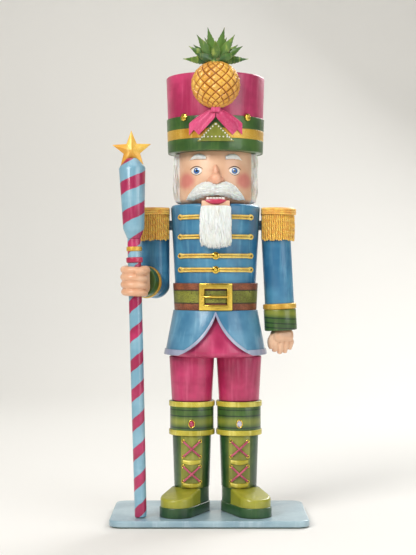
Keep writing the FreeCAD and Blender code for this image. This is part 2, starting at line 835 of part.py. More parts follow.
def make_right_arm():
    board, fringe = shoulder_trim(-1)
    peg = shoulder_peg(-1)
    flat = torso_radius_top + arm_gap + arm_flat
    keep = Part.makeBox(reach, reach, 2 * reach, Vector(-flat - reach, -reach / 2, 0))
    elbow = elbow_centre()
    top = z_head - 1.6 - epaulette_thickness
    arm = rod(arm_radius, elbow.z, top, -arm_x).fuse(Part.makeSphere(arm_radius, elbow)).removeSplitter()
    arm = arm.common(keep).cut(peg)
    run = (fist_centre() - elbow).Length
    start = run - fist_depth / 2 - right_cuff_length - right_ring_length
    forearm = along_forearm(Part.makeCylinder(arm_radius - 0.8, start, Vector(0, 0, 0), across))
    put("right_upper_arm", arm)
    put("right_forearm", max(forearm.cut(arm).common(keep).Solids, key=lambda s: s.Volume))
    ring = Part.makeCylinder(arm_radius + 1.0, right_ring_length, Vector(start, 0, 0), across)
    put("right_cuff_ring", along_forearm(rounded(ring, 1.0, lambda e: e.Length > 20)).cut(arm))
    start += right_ring_length
    cuff = Part.makeCylinder(arm_radius + 0.4, right_cuff_length, Vector(start, 0, 0), across)
    put("right_cuff", along_forearm(cuff))
    start += right_cuff_length
    fist = Part.makeBox(
        fist_depth, fist_width, fist_height, Vector(start, -fist_width / 2, -fist_height / 2)
    )
    fist = rounded(fist, fist_edge, lambda e: e.CenterOfMass.x > start + 1e-3)
    to_fist = (fist_centre() - staff_foot()).Length
    grip = rod(staff_grip_radius + staff_bore_clearance, to_fist - fist_height, to_fist + fist_height)
    put("right_hand", along_forearm(fist).cut(staff_local(grip)))
    put("right_fringe", fringe.cut([arm, peg]))
    put("right_epaulette", board.cut(peg))
    put("right_shoulder_peg", peg)


def make_staff():
    to_fist = (fist_centre() - staff_foot()).Length
    grip_top = to_fist + fist_height / 2 + collar_clearance
    head_foot = to_fist + staff_neck_above_fist
    head_top = head_foot + staff_neck + staff_head_height
    shaft = turned(
        [
            (0, 0),
            (staff_foot_radius, 0),
            (staff_grip_radius, staff_taper * to_fist),
            (staff_grip_radius, head_foot),
            (0, head_foot),
        ]
    )
    put("staff_shaft", staff_local(rounded(shaft, 1.0, level(0))))
    put(
        "staff_head",
        staff_local(
            turned(
                [
                    (0, head_foot),
                    (staff_grip_radius, head_foot),
                    (staff_head_bottom, head_foot + staff_neck),
                    (staff_head_top, head_top - 2.0),
                    (staff_head_top * 0.9, head_top),
                    (staff_head_top * 0.4, head_top + staff_dome),
                    (0, head_top + staff_dome),
                ]
            )
        ),
    )
    collar = rod(staff_grip_radius + collar_proud, grip_top, grip_top + collar_height)
    bead = rod(staff_grip_radius + collar_proud * 0.7, grip_top + 9.0, grip_top + 9.0 + bead_height)
    rings = [rounded(one, 0.9, lambda e: e.Length > 20).cut(shaft) for one in (collar, bead)]
    put("staff_collar", staff_local(rings[0]))
    put("staff_bead", staff_local(rings[1]))
    middle = head_top + staff_dome + star_waist * 0.82
    corners = []
    for i in range(10):
        radius = star_waist if i % 2 else star_radius
        angle = math.radians(90 + 36 * i)
        x, z = radius * math.cos(angle), middle + radius * math.sin(angle)
        corners.append(Vector(x, star_thickness / 2, z))
    star = plate(corners, forward * star_thickness)
    head_solid = turned(
        [(0, head_top - 20), (staff_head_top + 0.05, head_top - 20), (staff_head_top + 0.05, head_top), (0, head_top)]
    )
    dome = turned(
        [
            (0, head_top),
            (staff_head_top * 0.9, head_top),
            (staff_head_top * 0.4, head_top + staff_dome),
            (0, head_top + staff_dome),
        ]
    )
    put("staff_star", staff_local(star.cut([head_solid, dome])))


make_base()
make_boots()
make_legs()
make_coat()
make_jaw()
make_head()
make_hat()
make_left_arm()
make_right_arm()
make_staff()

os.makedirs("parts", exist_ok=True)
for name, shape in parts.items():
    shape.exportStep("parts/" + name + ".step")
print(len(parts), "nodes")
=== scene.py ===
import math
import random
from contextlib import contextmanager

import bmesh
import bpy
from mathutils import Matrix, Vector


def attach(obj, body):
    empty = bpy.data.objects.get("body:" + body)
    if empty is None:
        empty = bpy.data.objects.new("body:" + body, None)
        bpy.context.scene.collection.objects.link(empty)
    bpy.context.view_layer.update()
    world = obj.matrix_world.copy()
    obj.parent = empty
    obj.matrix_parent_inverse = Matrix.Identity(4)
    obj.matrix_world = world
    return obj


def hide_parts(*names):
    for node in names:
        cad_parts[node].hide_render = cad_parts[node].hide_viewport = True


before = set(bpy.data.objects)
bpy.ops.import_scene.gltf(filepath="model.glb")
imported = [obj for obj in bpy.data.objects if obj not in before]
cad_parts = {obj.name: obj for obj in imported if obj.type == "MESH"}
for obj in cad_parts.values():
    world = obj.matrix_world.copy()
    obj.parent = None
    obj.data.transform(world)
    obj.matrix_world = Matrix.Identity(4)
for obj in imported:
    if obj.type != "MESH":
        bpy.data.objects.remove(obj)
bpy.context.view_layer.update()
random.seed(11)

bodyX = 0.005  # the figure's centre line stands this far off the board's middle
ahead = Matrix.Rotation(math.radians(90), 4, "X")  # turns a shape that faces up to face forwards


# small tools
def clearSelection():
    if bpy.context.object and bpy.context.object.mode != "OBJECT":
        bpy.ops.object.mode_set(mode="OBJECT")
    bpy.ops.object.select_all(action="DESELECT")


def pick(obj):
    clearSelection()
    obj.select_set(True)
    bpy.context.view_layer.objects.active = obj
    return obj


def begin(operator, **settings):
    # one of Blender's own shapes, to be worked on
    clearSelection()
    operator(**settings)
    return bpy.context.object


@contextmanager
def editing(everything=False):
    bpy.ops.object.mode_set(mode="EDIT")
    if everything:
        bpy.ops.mesh.select_all(action="SELECT")
    yield
    bpy.ops.object.mode_set(mode="OBJECT")


def choose(obj, kind, test):
    # selects the faces or the edges that pass the test, in edit mode
    mesh = bmesh.from_edit_mesh(obj.data)
    mesh.normal_update()
    for part in getattr(mesh, kind):
        part.select = test(part)
    bmesh.update_edit_mesh(obj.data)


def facingUp(face):
    return face.normal.z > 0.9


def terrace(obj, steps):
    # the top is inset and lifted again and again; each step is (inset, lift)
    choose(obj, "faces", facingUp)
    for shrink, rise in steps:
        bpy.ops.mesh.inset(thickness=shrink)
        bpy.ops.transform.translate(value=(0, 0, rise))


def settle(obj):
    # the piece's place goes into its mesh, so the object itself sits at the origin
    pick(obj)
    bpy.ops.object.transform_apply(location=True, rotation=True, scale=True)
    return obj


def shift(obj, spot, turn=None):
    obj.data.transform(Matrix.Translation(spot) @ (turn or Matrix.Identity(4)))
    return obj


def modify(obj, kind, **settings):
    modifier = obj.modifiers.new(kind.lower(), kind)
    for key, value in settings.items():
        setattr(modifier, key, value)
    pick(obj)
    bpy.ops.object.modifier_apply(modifier=modifier.name)
    return obj


def thicken(obj, thickness, edge=0, segments=2):
    modify(obj, "SOLIDIFY", thickness=thickness, offset=0)
    if edge:
        modify(obj, "BEVEL", width=edge, segments=segments, limit_method="ANGLE")
    return obj


def cutAway(obj, cutter):
    modify(obj, "BOOLEAN", operation="DIFFERENCE", object=cutter, solver="EXACT")
    bpy.data.objects.remove(cutter)
    return obj


def smooth(obj, degrees=35):
    pick(obj)
    bpy.ops.object.shade_smooth_by_angle(angle=math.radians(degrees))
    return obj


def tidyMesh(obj, gap=0.000002):
    # doubles merged, then every face turned outwards
    pick(obj)
    with editing(True):
        bpy.ops.mesh.remove_doubles(threshold=gap)
        bpy.ops.mesh.normals_make_consistent(inside=False)
    return obj


def joined(objs):
    clearSelection()
    for obj in objs:
        obj.select_set(True)
    bpy.context.view_layer.objects.active = objs[0]
    if len(objs) > 1:
        bpy.ops.object.join()
    return bpy.context.view_layer.objects.active


def copyOf(obj, spot=(0, 0, 0), turn=None):
    twin = obj.copy()
    twin.data = obj.data.copy()
    bpy.context.scene.collection.objects.link(twin)
    return shift(twin, spot, turn)


def copies(first, places):
    # the first shape at each (spot, turn); the first itself is then dropped
    made = [copyOf(first, spot, turn) for spot, turn in places]
    bpy.data.objects.remove(first)
    return joined(made)


def dress(obj, name, body, finish, nodes=(), angle=35):
    # names a finished piece, paints it and ties it to the body that it moves with
    settle(obj)
    smooth(obj, angle)
    obj.name = name
    obj.data.name = name
    obj.data.materials.clear()
    obj.data.materials.append(finish)
    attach(obj, body)
    if nodes:
        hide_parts(*nodes)
    return obj


def cordFrom(name, runs, width, sides=2):
    # one bevelled curve that holds many runs; each run is a list of (point, thickness share)
    curve = bpy.data.curves.new(name, "CURVE")
    curve.dimensions = "3D"
    curve.bevel_depth = width
    curve.bevel_resolution = sides
    curve.use_fill_caps = True
    for run in runs:
        spline = curve.splines.new("POLY")
        spline.points.add(len(run) - 1)
        for point, (spot, share) in zip(spline.points, run):
            point.co = (*spot, 1)
            point.radius = share
    obj = bpy.data.objects.new(name, curve)
    bpy.context.scene.collection.objects.link(obj)
    pick(obj)
    bpy.ops.object.convert(target="MESH")
    return bpy.context.view_layer.objects.active


def twistedCord(path, radius, turns, strands=3, stepsPerTurn=6):
    # the runs of a cord laid from strands that wind round a path given as a function of 0 to 1
    steps = int(turns * stepsPerTurn)
    runs = []
    for strand in range(strands):
        run = []
        for step in range(steps + 1):
            share = step / steps
            here, side, lift = path(share)
            angle = 2 * math.pi * (turns * share + strand / strands)
            offset = (side * math.cos(angle) + lift * math.sin(angle)) * radius * 0.52
            run.append((here + offset, 1.0))
        runs.append(run)
    return runs


def onDrum(angle, radius, z):
    # a point on an upright drum about the figure's centre line; angle 0 faces forwards
    return Vector((bodyX + radius * math.sin(angle), -radius * math.cos(angle), z))


def turnTo(x, radius):
    # how far round a drum of this radius a point lies that is x to the side
    return math.asin(max(-1, min(1, x / radius)))


def onFront(x, radius, z):
    return onDrum(turnTo(x, radius), radius, z)


def outwards(angle, side=1):
    return Vector((side * math.sin(angle), -math.cos(angle), 0))


def between(share, low, high):
    return low + share * (high - low)


print("tools ready")


# paints and finishes
def tint(red, green, blue):
    def linear(value):
        share = value / 255
        return share / 12.92 if share <= 0.04045 else ((share + 0.055) / 1.055) ** 2.4

    return (linear(red), linear(green), linear(blue), 1.0)


class Graph:
    # the nodes of one material or group; a value is a number, a tuple or another node's output
    def __init__(self, tree):
        self.tree = tree
        self.vector = self.shader = None

    def fill(self, socket, value):
        if isinstance(value, (int, float, tuple)):
            socket.default_value = value
        else:
            self.tree.links.new(value, socket)

    def node(self, kind, inputs=None, **settings):
        node = self.tree.nodes.new("ShaderNode" + kind)
        for key, value in settings.items():
            setattr(node, key, value)
        for key, value in (inputs or {}).items():
            self.fill(node.inputs[key], value)
        return node

    def maths(self, operation, first, second=0.0, clamp=False):
        return self.node("Math", {0: first, 1: second}, operation=operation, use_clamp=clamp).outputs[0]

    def add(self, first, second, clamp=False):
        return self.maths("ADD", first, second, clamp)

    def less(self, first, second):
        return self.maths("SUBTRACT", first, second)

    def times(self, first, second, clamp=False):
        return self.maths("MULTIPLY", first, second, clamp)

    def either(self, first, second):
        # the larger of two masks, where the first may still be missing
        return second if first is None else self.maths("MAXIMUM", first, second)

    def spread(self, value, low, high, toLow=0.0, toHigh=1.0):
        inputs = {"Value": value, "From Min": low, "From Max": high, "To Min": toLow, "To Max": toHigh}
        return self.node("MapRange", inputs, interpolation_type="SMOOTHSTEP").outputs["Result"]

    def inBand(self, value, low, high, soft):
        # 1 between low and high, with soft edges
        up = self.spread(value, low - soft, low + soft)
        return self.times(up, self.spread(value, high - soft, high + soft, 1.0, 0.0))

    def mix(self, share, first, second):
        return self.node("Mix", {0: share, 6: first, 7: second}, data_type="RGBA").outputs[2]

    def blend(self, share, first, second):
        # two sets of tones, mixed tone by tone
        return [self.mix(share, one, other) for one, other in zip(first, second)]

    def noise(self, scale, detail=3.0, stretch=(1, 1, 1), rough=0.55):
        spot = self.node("Mapping", {"Vector": self.vector, "Scale": stretch}).outputs["Vector"]
        inputs = {"Vector": spot, "Scale": scale, "Detail": detail, "Roughness": rough}
        return self.node("TexNoise", inputs).outputs["Fac"]

    def wobble(self, amount, scale=160, detail=3):
        return self.times(self.less(self.noise(scale, detail), 0.5), amount)

    def parted(self, vector=None):
        node = self.node("SeparateXYZ", {0: vector or self.vector})
        return node.outputs["X"], node.outputs["Y"], node.outputs["Z"]

    def moved(self, centre, turn=(0, 0, 0), size=(1, 1, 1)):
        # the pattern's own axes: first shifted to its centre, then turned
        offset = self.node("VectorMath", {0: self.vector, 1: centre}, operation="SUBTRACT").outputs[0]
        return self.node("Mapping", {"Vector": offset, "Rotation": turn, "Scale": size}).outputs["Vector"]

    def reach(self, centre, size):
        # the distance from a centre
        local = self.moved(centre, size=size)
        return self.node("VectorMath", {0: local}, operation="LENGTH").outputs["Value"]

    def group(self, tree, **inputs):
        return self.node("Group", {"Vector": self.vector, **inputs}, node_tree=tree).outputs

    # painted shade: the tone darkens towards the given shade colour by the crease mask
    def crease(self, depth, tone, grime):
        return self.mix(self.group(creaseShade, Depth=depth)["Mask"], tone, grime)

    def bump(self, height, strength, distance):
        inputs = {"Strength": strength, "Distance": distance, "Height": height}
        self.fill(self.shader.inputs["Normal"], self.node("Bump", inputs).outputs["Normal"])

    def finish(self, tone, rough=None):
        self.fill(self.shader.inputs["Base Color"], tone)
        if rough is not None:
            self.fill(self.shader.inputs["Roughness"], rough)
        return self.material


def startGroup(name, inputs, outputs):
    graph = Graph(bpy.data.node_groups.new(name, "ShaderNodeTree"))
    for label, value in {"Vector": None, **inputs}.items():
        kind = "Vector" if value is None else "Color" if isinstance(value, tuple) else "Float"
        socket = graph.tree.interface.new_socket(label, in_out="INPUT", socket_type="NodeSocket" + kind)
        if value is not None:
            socket.default_value = value
    for label in outputs:
        kind = "Color" if label == "Color" else "Float"
        graph.tree.interface.new_socket(label, in_out="OUTPUT", socket_type="NodeSocket" + kind)
    start = graph.tree.nodes.new("NodeGroupInput").outputs
    graph.vector = start["Vector"]
    return graph, start, graph.tree.nodes.new("NodeGroupOutput").inputs


def buildBrushedPaint():
    # hand-laid paint: cloudy tone, brush streaks and the wood's grain just showing through
    tones = {"Color": (0.5, 0.5, 0.5, 1), "Deep": (0.3, 0.3, 0.3, 1), "Light": (0.7, 0.7, 0.7, 1), "Streaks": 0.5}
    graph, start, end = startGroup("brushedPaint", tones, ("Color", "Roughness", "Height"))
    cloud = graph.noise(38)
    streak = graph.noise(260, 3, (1, 1, 0.07))
    across = graph.noise(210, 3, (0.12, 0.12, 1))
    speck = graph.noise(1500, 2)
    tone = graph.mix(graph.spread(cloud, 0.36, 0.66), start["Deep"], start["Color"])
    lit = graph.times(graph.spread(streak, 0.5, 0.72), start["Streaks"])
    tone = graph.mix(lit, tone, start["Light"])
    dim = graph.times(graph.spread(across, 0.52, 0.75), 0.35)
    graph.fill(end["Color"], graph.mix(dim, tone, start["Deep"]))
    shine = graph.add(graph.times(cloud, 0.22), graph.times(streak, 0.14))
    graph.fill(end["Roughness"], graph.add(shine, 0.2))
    relief = graph.add(graph.times(streak, 0.7), graph.times(across, 0.35))
    graph.fill(end["Height"], graph.add(relief, graph.times(speck, 0.12)))
    return graph.tree


def buildEdgeRub():
    # where handling has rubbed the paint thin on corners
    graph, start, end = startGroup("edgeRub", {"Amount": 0.5}, ("Mask",))
    bevel = graph.node("Bevel", {"Radius": 0.0009}, samples=4).outputs["Normal"]
    flat = graph.node("NewGeometry").outputs["Normal"]
    turn = graph.node("VectorMath", {0: bevel, 1: flat}, operation="DOT_PRODUCT").outputs["Value"]
    corner = graph.spread(graph.less(1.0, turn), 0.03, 0.22)
    patch = graph.spread(graph.noise(240, 5), 0.46, 0.62)
    graph.fill(end["Mask"], graph.times(graph.times(corner, patch), start["Amount"], True))
    return graph.tree


def buildCreaseShade():
    # painted shade: darker in creases, hollows and where pieces meet, in uneven patches
    graph, start, end = startGroup("creaseShade", {"Depth": 0.5}, ("Mask",))
    hidden = graph.node("AmbientOcclusion", {"Distance": 0.004}, samples=4).outputs["AO"]
    crease = graph.spread(graph.less(1.0, hidden), 0.3, 0.85)
    patch = graph.spread(graph.noise(120, 4), 0.3, 0.7, 0.55, 1.0)
    graph.fill(end["Mask"], graph.times(graph.times(crease, patch), start["Depth"]))
    return graph.tree


brushedPaint = buildBrushedPaint()
edgeRub = buildEdgeRub()
creaseShade = buildCreaseShade()


def startMaterial(name, **values):
    material = bpy.data.materials.new(name)
    material.use_nodes = True
    material.node_tree.nodes.clear()
    graph = Graph(material.node_tree)
    graph.material = material
    graph.shader = graph.node("BsdfPrincipled", {label.replace("_", " "): value for label, value in values.items()})
    graph.node("OutputMaterial", {"Surface": graph.shader.outputs[0]})
    graph.vector = graph.node("TexCoord").outputs["Object"]
    return graph


def paintOver(
    graph, tones, rub=0.5, crease=0.5, streaks=0.3, bump=0.28, rough=0.0, grime=(58, 44, 34), under=(196, 160, 118)
):
    # the coat of paint shared by every painted piece; tones are its main, deep and light tone
    color, deep, light = tones
    coat = graph.group(brushedPaint, Color=color, Deep=deep, Light=light, Streaks=streaks)
    # painted shade: the coat darkens towards the shade colour in creases and where pieces meet
    tone = graph.crease(crease, coat["Color"], tint(*grime))
    worn = graph.group(edgeRub, Amount=rub)["Mask"]
    tone = graph.mix(worn, tone, tint(*under))
    graph.bump(graph.less(coat["Height"], graph.times(worn, 0.6)), bump, 0.0003)
    shine = graph.add(coat["Roughness"], rough)
    return graph.finish(tone, graph.add(shine, graph.times(worn, 0.3), True))


# main tone, deep tone and light tone of every painted finish, then what sets its coat apart
# the painted shade colour for creases on skin-coloured pieces
skinShade = {"grime": (150, 92, 66)}
woodPaints = {
    "pink": ((205, 62, 112), (168, 38, 84), (226, 110, 150), {"rub": 0.45}),
    "blue": ((74, 142, 178), (48, 110, 150), (126, 184, 208), {"rub": 0.45}),
    "lightBlue": ((92, 150, 182), (62, 120, 156), (140, 188, 210), {"rub": 0.45}),
    "ice": ((168, 194, 204), (140, 170, 184), (204, 220, 226), {"rub": 0.7}),
    "green": ((70, 108, 44), (44, 80, 34), (118, 144, 66), {"rub": 0.55}),
    "darkGreen": ((48, 88, 44), (30, 64, 34), (84, 120, 64), {"rub": 0.6}),
    "olive": ((150, 154, 60), (118, 124, 42), (184, 184, 96), {}),
    "lilac": ((170, 178, 200), (142, 150, 178), (206, 210, 224), {}),
    "white": ((244, 242, 236), (228, 224, 214), (252, 251, 248), {"rub": 0.15, "streaks": 0.2}),
    "red": ((204, 52, 92), (164, 28, 66), (230, 104, 130), {"rub": 0.2, "coat": 0.7}),
    "leaf": ((94, 132, 50), (44, 86, 38), (168, 186, 84), {"rub": 0.6, "streaks": 0.8}),
    "umber": ((86, 54, 36), (58, 36, 24), (120, 80, 54), {"rub": 0.0}),
    "nose": (
        (238, 182, 150), (226, 154, 126), (248, 210, 184), {"rub": 0.15, "crease": 0.4, "streaks": 0.12, **skinShade},
    ),
    "hand": (
        (236, 192, 158), (222, 168, 132), (246, 212, 184),
        {"rub": 0.15, "crease": 0.55, "grime": (160, 92, 64), "streaks": 0.12, "bump": 0.2},
    ),
}
skinTones = ((238, 196, 164), (226, 176, 142), (246, 214, 188))


def tints(colors):
    return [tint(*color) for color in colors]


def paintedWood(name, main, deep, light, look):
    look = dict(look)
    graph = startMaterial(name, Coat_Weight=look.pop("coat", 0.35), Coat_Roughness=0.16, Specular_IOR_Level=0.45)
    return paintOver(graph, tints((main, deep, light)), **look)


paint = {name: paintedWood(name + "Paint", *row) for name, row in woodPaints.items()}


def twoToned(graph, mask, first, second, **look):
    # one set of tones where the mask is 0, another where it is 1
    return paintOver(graph, graph.blend(mask, tints(first), tints(second)), **look)


def facePaint():
    cheeks = {"x": 0.0232, "y": -0.02, "z": 0.2705, "radius": 0.0062}
    graph = startMaterial("facePaint", Coat_Weight=0.3, Coat_Roughness=0.2)
    mask = None
    for side in (-1, 1):
        far = graph.reach((bodyX + side * cheeks["x"], cheeks["y"], cheeks["z"]), (1, 0.35, 1.05))
        far = graph.add(far, graph.wobble(0.0022, 220))
        mask = graph.either(mask, graph.spread(far, cheeks["radius"] * 0.55, cheeks["radius"] * 1.5, 1.0, 0.0))
    skin = ((240, 200, 168), (228, 180, 146), (248, 218, 192))
    rouge = ((226, 108, 116), (208, 86, 98), (240, 150, 150))
    mask = graph.times(mask, 0.62)
    return twoToned(graph, mask, skin, rouge, rub=0.15, crease=0.4, streaks=0.12, bump=0.18, **skinShade)


staff = {"foot": (-0.05367, -0.032, 0.0065), "lean": math.radians(1.4), "pitch": 0.0232}


def stripePaint():
    # pink and blue bands that wind up the staff, the blue edged with a deeper line
    graph = startMaterial("stripePaint", Coat_Weight=0.45, Coat_Roughness=0.12)
    x, y, z = graph.parted(graph.moved(staff["foot"], turn=(0, staff["lean"], 0)))
    angle = graph.maths("DIVIDE", graph.maths("ARCTAN2", y, x), 2 * math.pi)
    climb = graph.add(graph.maths("DIVIDE", z, staff["pitch"]), graph.wobble(0.07, 190))
    phase = graph.maths("FRACT", graph.less(climb, angle))
    mask = graph.inBand(phase, 0.3, 0.72, 0.012)
    edge = graph.times(graph.inBand(phase, 0.27, 0.75, 0.012), graph.less(1.0, mask))
    deepBlue = tint(120, 168, 190)
    blues = [graph.mix(edge, tint(148, 192, 210), deepBlue), deepBlue, tint(190, 218, 228)]
    pinks = tints(((198, 48, 104), (160, 30, 78), (222, 92, 138)))
    return paintOver(graph, graph.blend(mask, blues, pinks), rub=0.4, bump=0.25)


def footPaint():
    # lime toe caps with a wavy seam, green behind; each foot has its own axes
    graph = startMaterial("footPaint", Coat_Weight=0.45, Coat_Roughness=0.14)
    x = graph.parted()[0]
    caps = []
    for side in (-1, 1):
        local = graph.moved((bodyX + side * 0.019, 0, 0), turn=(0, 0, math.radians(-24 * side)))
        forwards = graph.add(graph.times(graph.parted(local)[1], -1.0), graph.wobble(0.0012))
        middle = side * bodyX
        own = graph.spread(graph.times(x, float(side)), middle - 0.0002, middle + 0.0002)
        caps.append(graph.times(graph.spread(forwards, 0.0118, 0.0124), own))
    green = ((58, 98, 46), (36, 72, 36), (96, 128, 64))
    lime = ((164, 162, 48), (146, 146, 38), (206, 202, 98))
    return twoToned(graph, graph.add(*caps), green, lime, rub=0.7)


def shaftPaint():
    # painted light and shade: each boot is dark green towards its sides as seen from the front and lighter olive down
    # its middle, front and back alike
    graph = startMaterial("shaftPaint", Coat_Weight=0.4, Coat_Roughness=0.15)
    x = graph.less(graph.parted()[0], bodyX)
    off = graph.maths("ABSOLUTE", graph.less(graph.maths("ABSOLUTE", x), 0.019))
    olive = graph.spread(graph.add(off, graph.wobble(0.003)), 0.0075, 0.0125, 0.75, 0.0)
    green = ((46, 88, 44), (28, 62, 34), (82, 120, 64))
    return twoToned(graph, olive, green, ((112, 130, 50), (84, 104, 36), (150, 162, 80)), rub=0.6)


def crownPaint():
    # pink above, and dark green on the rim that shows under the lowest band
    graph = startMaterial("crownPaint", Coat_Weight=0.35, Coat_Roughness=0.16)
    rim = graph.spread(graph.parted()[2], 0.2940, 0.2950, 1.0, 0.0)
    return twoToned(graph, rim, woodPaints["pink"][:3], ((64, 104, 50), (44, 80, 38), (96, 132, 66)), rub=0.45)


def cuffPaint(name, pivot, turn, stripes, middle):
    # green, olive round its middle, with thin dark lines at the heights in stripes, measured from the pivot
    graph = startMaterial(name, Coat_Weight=0.35, Coat_Roughness=0.16)
    height = graph.add(graph.parted(graph.moved(pivot, turn=(0, turn, 0)))[2], graph.wobble(0.0004))
    line = None
    for level in stripes:
        band = graph.inBand(height, level - 0.0005, level + 0.0005, 0.00015)
        line = band if line is None else graph.add(line, band)
    olive = graph.inBand(height, middle - 0.0026, middle + 0.0026, 0.0022)
    greens = tints(((74, 108, 44), (46, 80, 34), (116, 140, 64)))
    olives = tints(((142, 150, 56), (112, 122, 40), (178, 182, 92)))
    lines = tints(((34, 56, 30), (26, 44, 26), (50, 78, 42)))
    return paintOver(graph, graph.blend(line, graph.blend(olive, greens, olives), lines), rub=0.55)


def leverPaint():
    # skin on the chin, red inside the mouth, coat blue on the handle, rubbed to the wood where fingers work it
    graph = startMaterial("leverPaint", Coat_Weight=0.3, Coat_Roughness=0.18)
    y, z = graph.parted()[1:]
    chin = graph.spread(graph.add(y, graph.wobble(0.001)), -0.0290, -0.0286, 1.0, 0.0)
    mouth = graph.times(graph.spread(z, 0.2510, 0.2514), graph.less(1.0, chin))
    mouth = graph.either(mouth, graph.spread(z, 0.25405, 0.25415))
    tones = graph.blend(chin, tints(woodPaints["blue"][:3]), tints(skinTones))
    tones = graph.blend(mouth, tones, tints(((158, 46, 62), (118, 26, 42), (190, 84, 92))))
    return paintOver(graph, tones, rub=0.9)


def pineapplePaint():
    # gold scales, warmer towards the grooves, with a rusty eye in the middle of each
    graph = startMaterial("pineapplePaint", Coat_Weight=0.4, Coat_Roughness=0.15, Metallic=0.12)
    relief, eye = (graph.node("Attribute", attribute_name=name).outputs["Fac"] for name in ("relief", "eye"))
    grooves = ((186, 96, 30), (140, 66, 22), (210, 130, 50))
    scales = ((238, 186, 74), (216, 150, 52), (252, 220, 130))
    tones = graph.blend(graph.spread(relief, 0.05, 0.75), tints(grooves), tints(scales))
    tones[0] = graph.mix(graph.spread(eye, 0.45, 0.85), tones[0], tint(206, 104, 56))
    return paintOver(graph, tones, rub=0.25, crease=0.6, streaks=0.35, bump=0.2, grime=(96, 48, 18))


def goldPaint(name, main, deep, light, metal=0.35):
    # bronze-powder paint: warm, slightly metallic, speckled
    graph = startMaterial(name, Coat_Weight=0.3, Coat_Roughness=0.15, Metallic=metal)
    tones = tints((main, deep, light))
    tones[0] = graph.mix(graph.spread(graph.noise(2600, 1), 0.56, 0.66), tones[0], tones[2])
    return paintOver(graph, tones, crease=0.75, streaks=0.55, rough=0.02, grime=(96, 62, 24), under=(176, 120, 60))


def polishedBrass():
    graph = startMaterial("polishedBrass", Metallic=1.0)
    stain = graph.spread(graph.noise(180, 5), 0.45, 0.7)
    tone = graph.mix(graph.times(stain, 0.35), tint(236, 204, 92), tint(190, 142, 52))
    scratch = graph.noise(900, 3, (1, 1, 0.05))
    graph.bump(scratch, 0.12, 0.0001)
    rough = graph.add(graph.times(scratch, 0.22), graph.times(stain, 0.15))
    # painted shade: darker in creases and where pieces meet
    return graph.finish(graph.crease(0.85, tone, tint(80, 52, 20)), rough)


def furFibre():
    # hair fibres: tone drifts from lock to lock, with painted shade where they lie deep
    graph = startMaterial(
        "whiteFur", Sheen_Weight=0.3, Sheen_Roughness=0.4, Subsurface_Weight=0.2, Subsurface_Scale=0.003
    )
    lock = graph.spread(graph.noise(420, 3, (1, 1, 0.25)), 0.35, 0.68)
    hue = graph.spread(graph.noise(70, 2), 0.4, 0.7)
    tone = graph.mix(lock, tint(238, 235, 229), tint(253, 252, 249))
    tone = graph.mix(graph.times(hue, 0.4), tone, tint(249, 244, 232))
    graph.bump(graph.noise(3000, 2, (1, 1, 0.1)), 0.15, 0.0001)
    return graph.finish(graph.crease(0.2, tone, tint(190, 182, 170)), graph.spread(lock, 0.0, 1.0, 0.72, 0.5))


def metallicThread(name, main, deep, light, metal, crease=0.5, patch=150):
    # wrapped thread: fine ribs across each strand, with painted shade where strands lie deep and meet
    graph = startMaterial(name, Metallic=metal, Sheen_Weight=0.2)
    rib = graph.noise(2400, 2)
    tone = graph.mix(graph.spread(graph.noise(patch), 0.38, 0.66), tint(*deep), tint(*main))
    tone = graph.mix(graph.spread(rib, 0.55, 0.68), tone, tint(*light))
    graph.bump(rib, 0.4, 0.0002)
    return graph.finish(graph.crease(crease, tone, tint(134, 78, 30)), graph.spread(rib, 0.3, 0.7, 0.28, 0.5))


def beltLeather():
    # brown above and below, olive between two dark lines, pebbled all over with darker seams between the pebbles, and
    # painted shade where pieces meet
    graph = startMaterial("beltLeather", Coat_Weight=0.12, Coat_Roughness=0.35)
    level = graph.add(graph.parted()[2], graph.wobble(0.0003, 300))
    olive = graph.inBand(level, 0.1738, 0.1838, 0.0002)
    line = graph.add(graph.inBand(level, 0.1732, 0.1742, 0.0002), graph.inBand(level, 0.1834, 0.1844, 0.0002), True)
    cells = graph.node("TexVoronoi", {"Scale": 900, "Vector": graph.vector}, feature="DISTANCE_TO_EDGE")
    pebble = graph.spread(cells.outputs["Distance"], 0.0, 0.12)
    hue = graph.spread(graph.noise(90, 4), 0.35, 0.68)
    brown = graph.mix(hue, tint(132, 66, 40), tint(172, 96, 60))
    green = graph.mix(hue, tint(116, 124, 36), tint(152, 158, 54))
    tone = graph.mix(line, graph.mix(olive, brown, green), tint(46, 34, 22))
    tone = graph.crease(0.6, graph.mix(pebble, tint(70, 52, 26), tone), tint(40, 26, 16))
    tone = graph.mix(graph.group(edgeRub, Amount=0.5)["Mask"], tone, tint(196, 140, 92))
    graph.bump(pebble, 0.35, 0.0002)
    return graph.finish(tone, graph.spread(hue, 0.0, 1.0, 0.62, 0.42))


def satinRibbon():
    graph = startMaterial("pinkRibbon", Sheen_Weight=0.4, Sheen_Roughness=0.3, Anisotropic=0.5)
    weave = graph.noise(2200, 2, (1, 1, 0.12))
    tone = graph.mix(graph.spread(graph.noise(60, 2), 0.3, 0.6), tint(196, 54, 104), tint(222, 84, 132))
    tone = graph.mix(graph.spread(weave, 0.5, 0.8, 0.0, 0.6), tone, tint(242, 146, 178))
    graph.bump(weave, 0.25, 0.0001)
    # painted shade: darker in the folds and where the ribbon meets the hat
    return graph.finish(graph.crease(0.5, tone, tint(92, 16, 46)), graph.spread(weave, 0.3, 0.7, 0.3, 0.5))


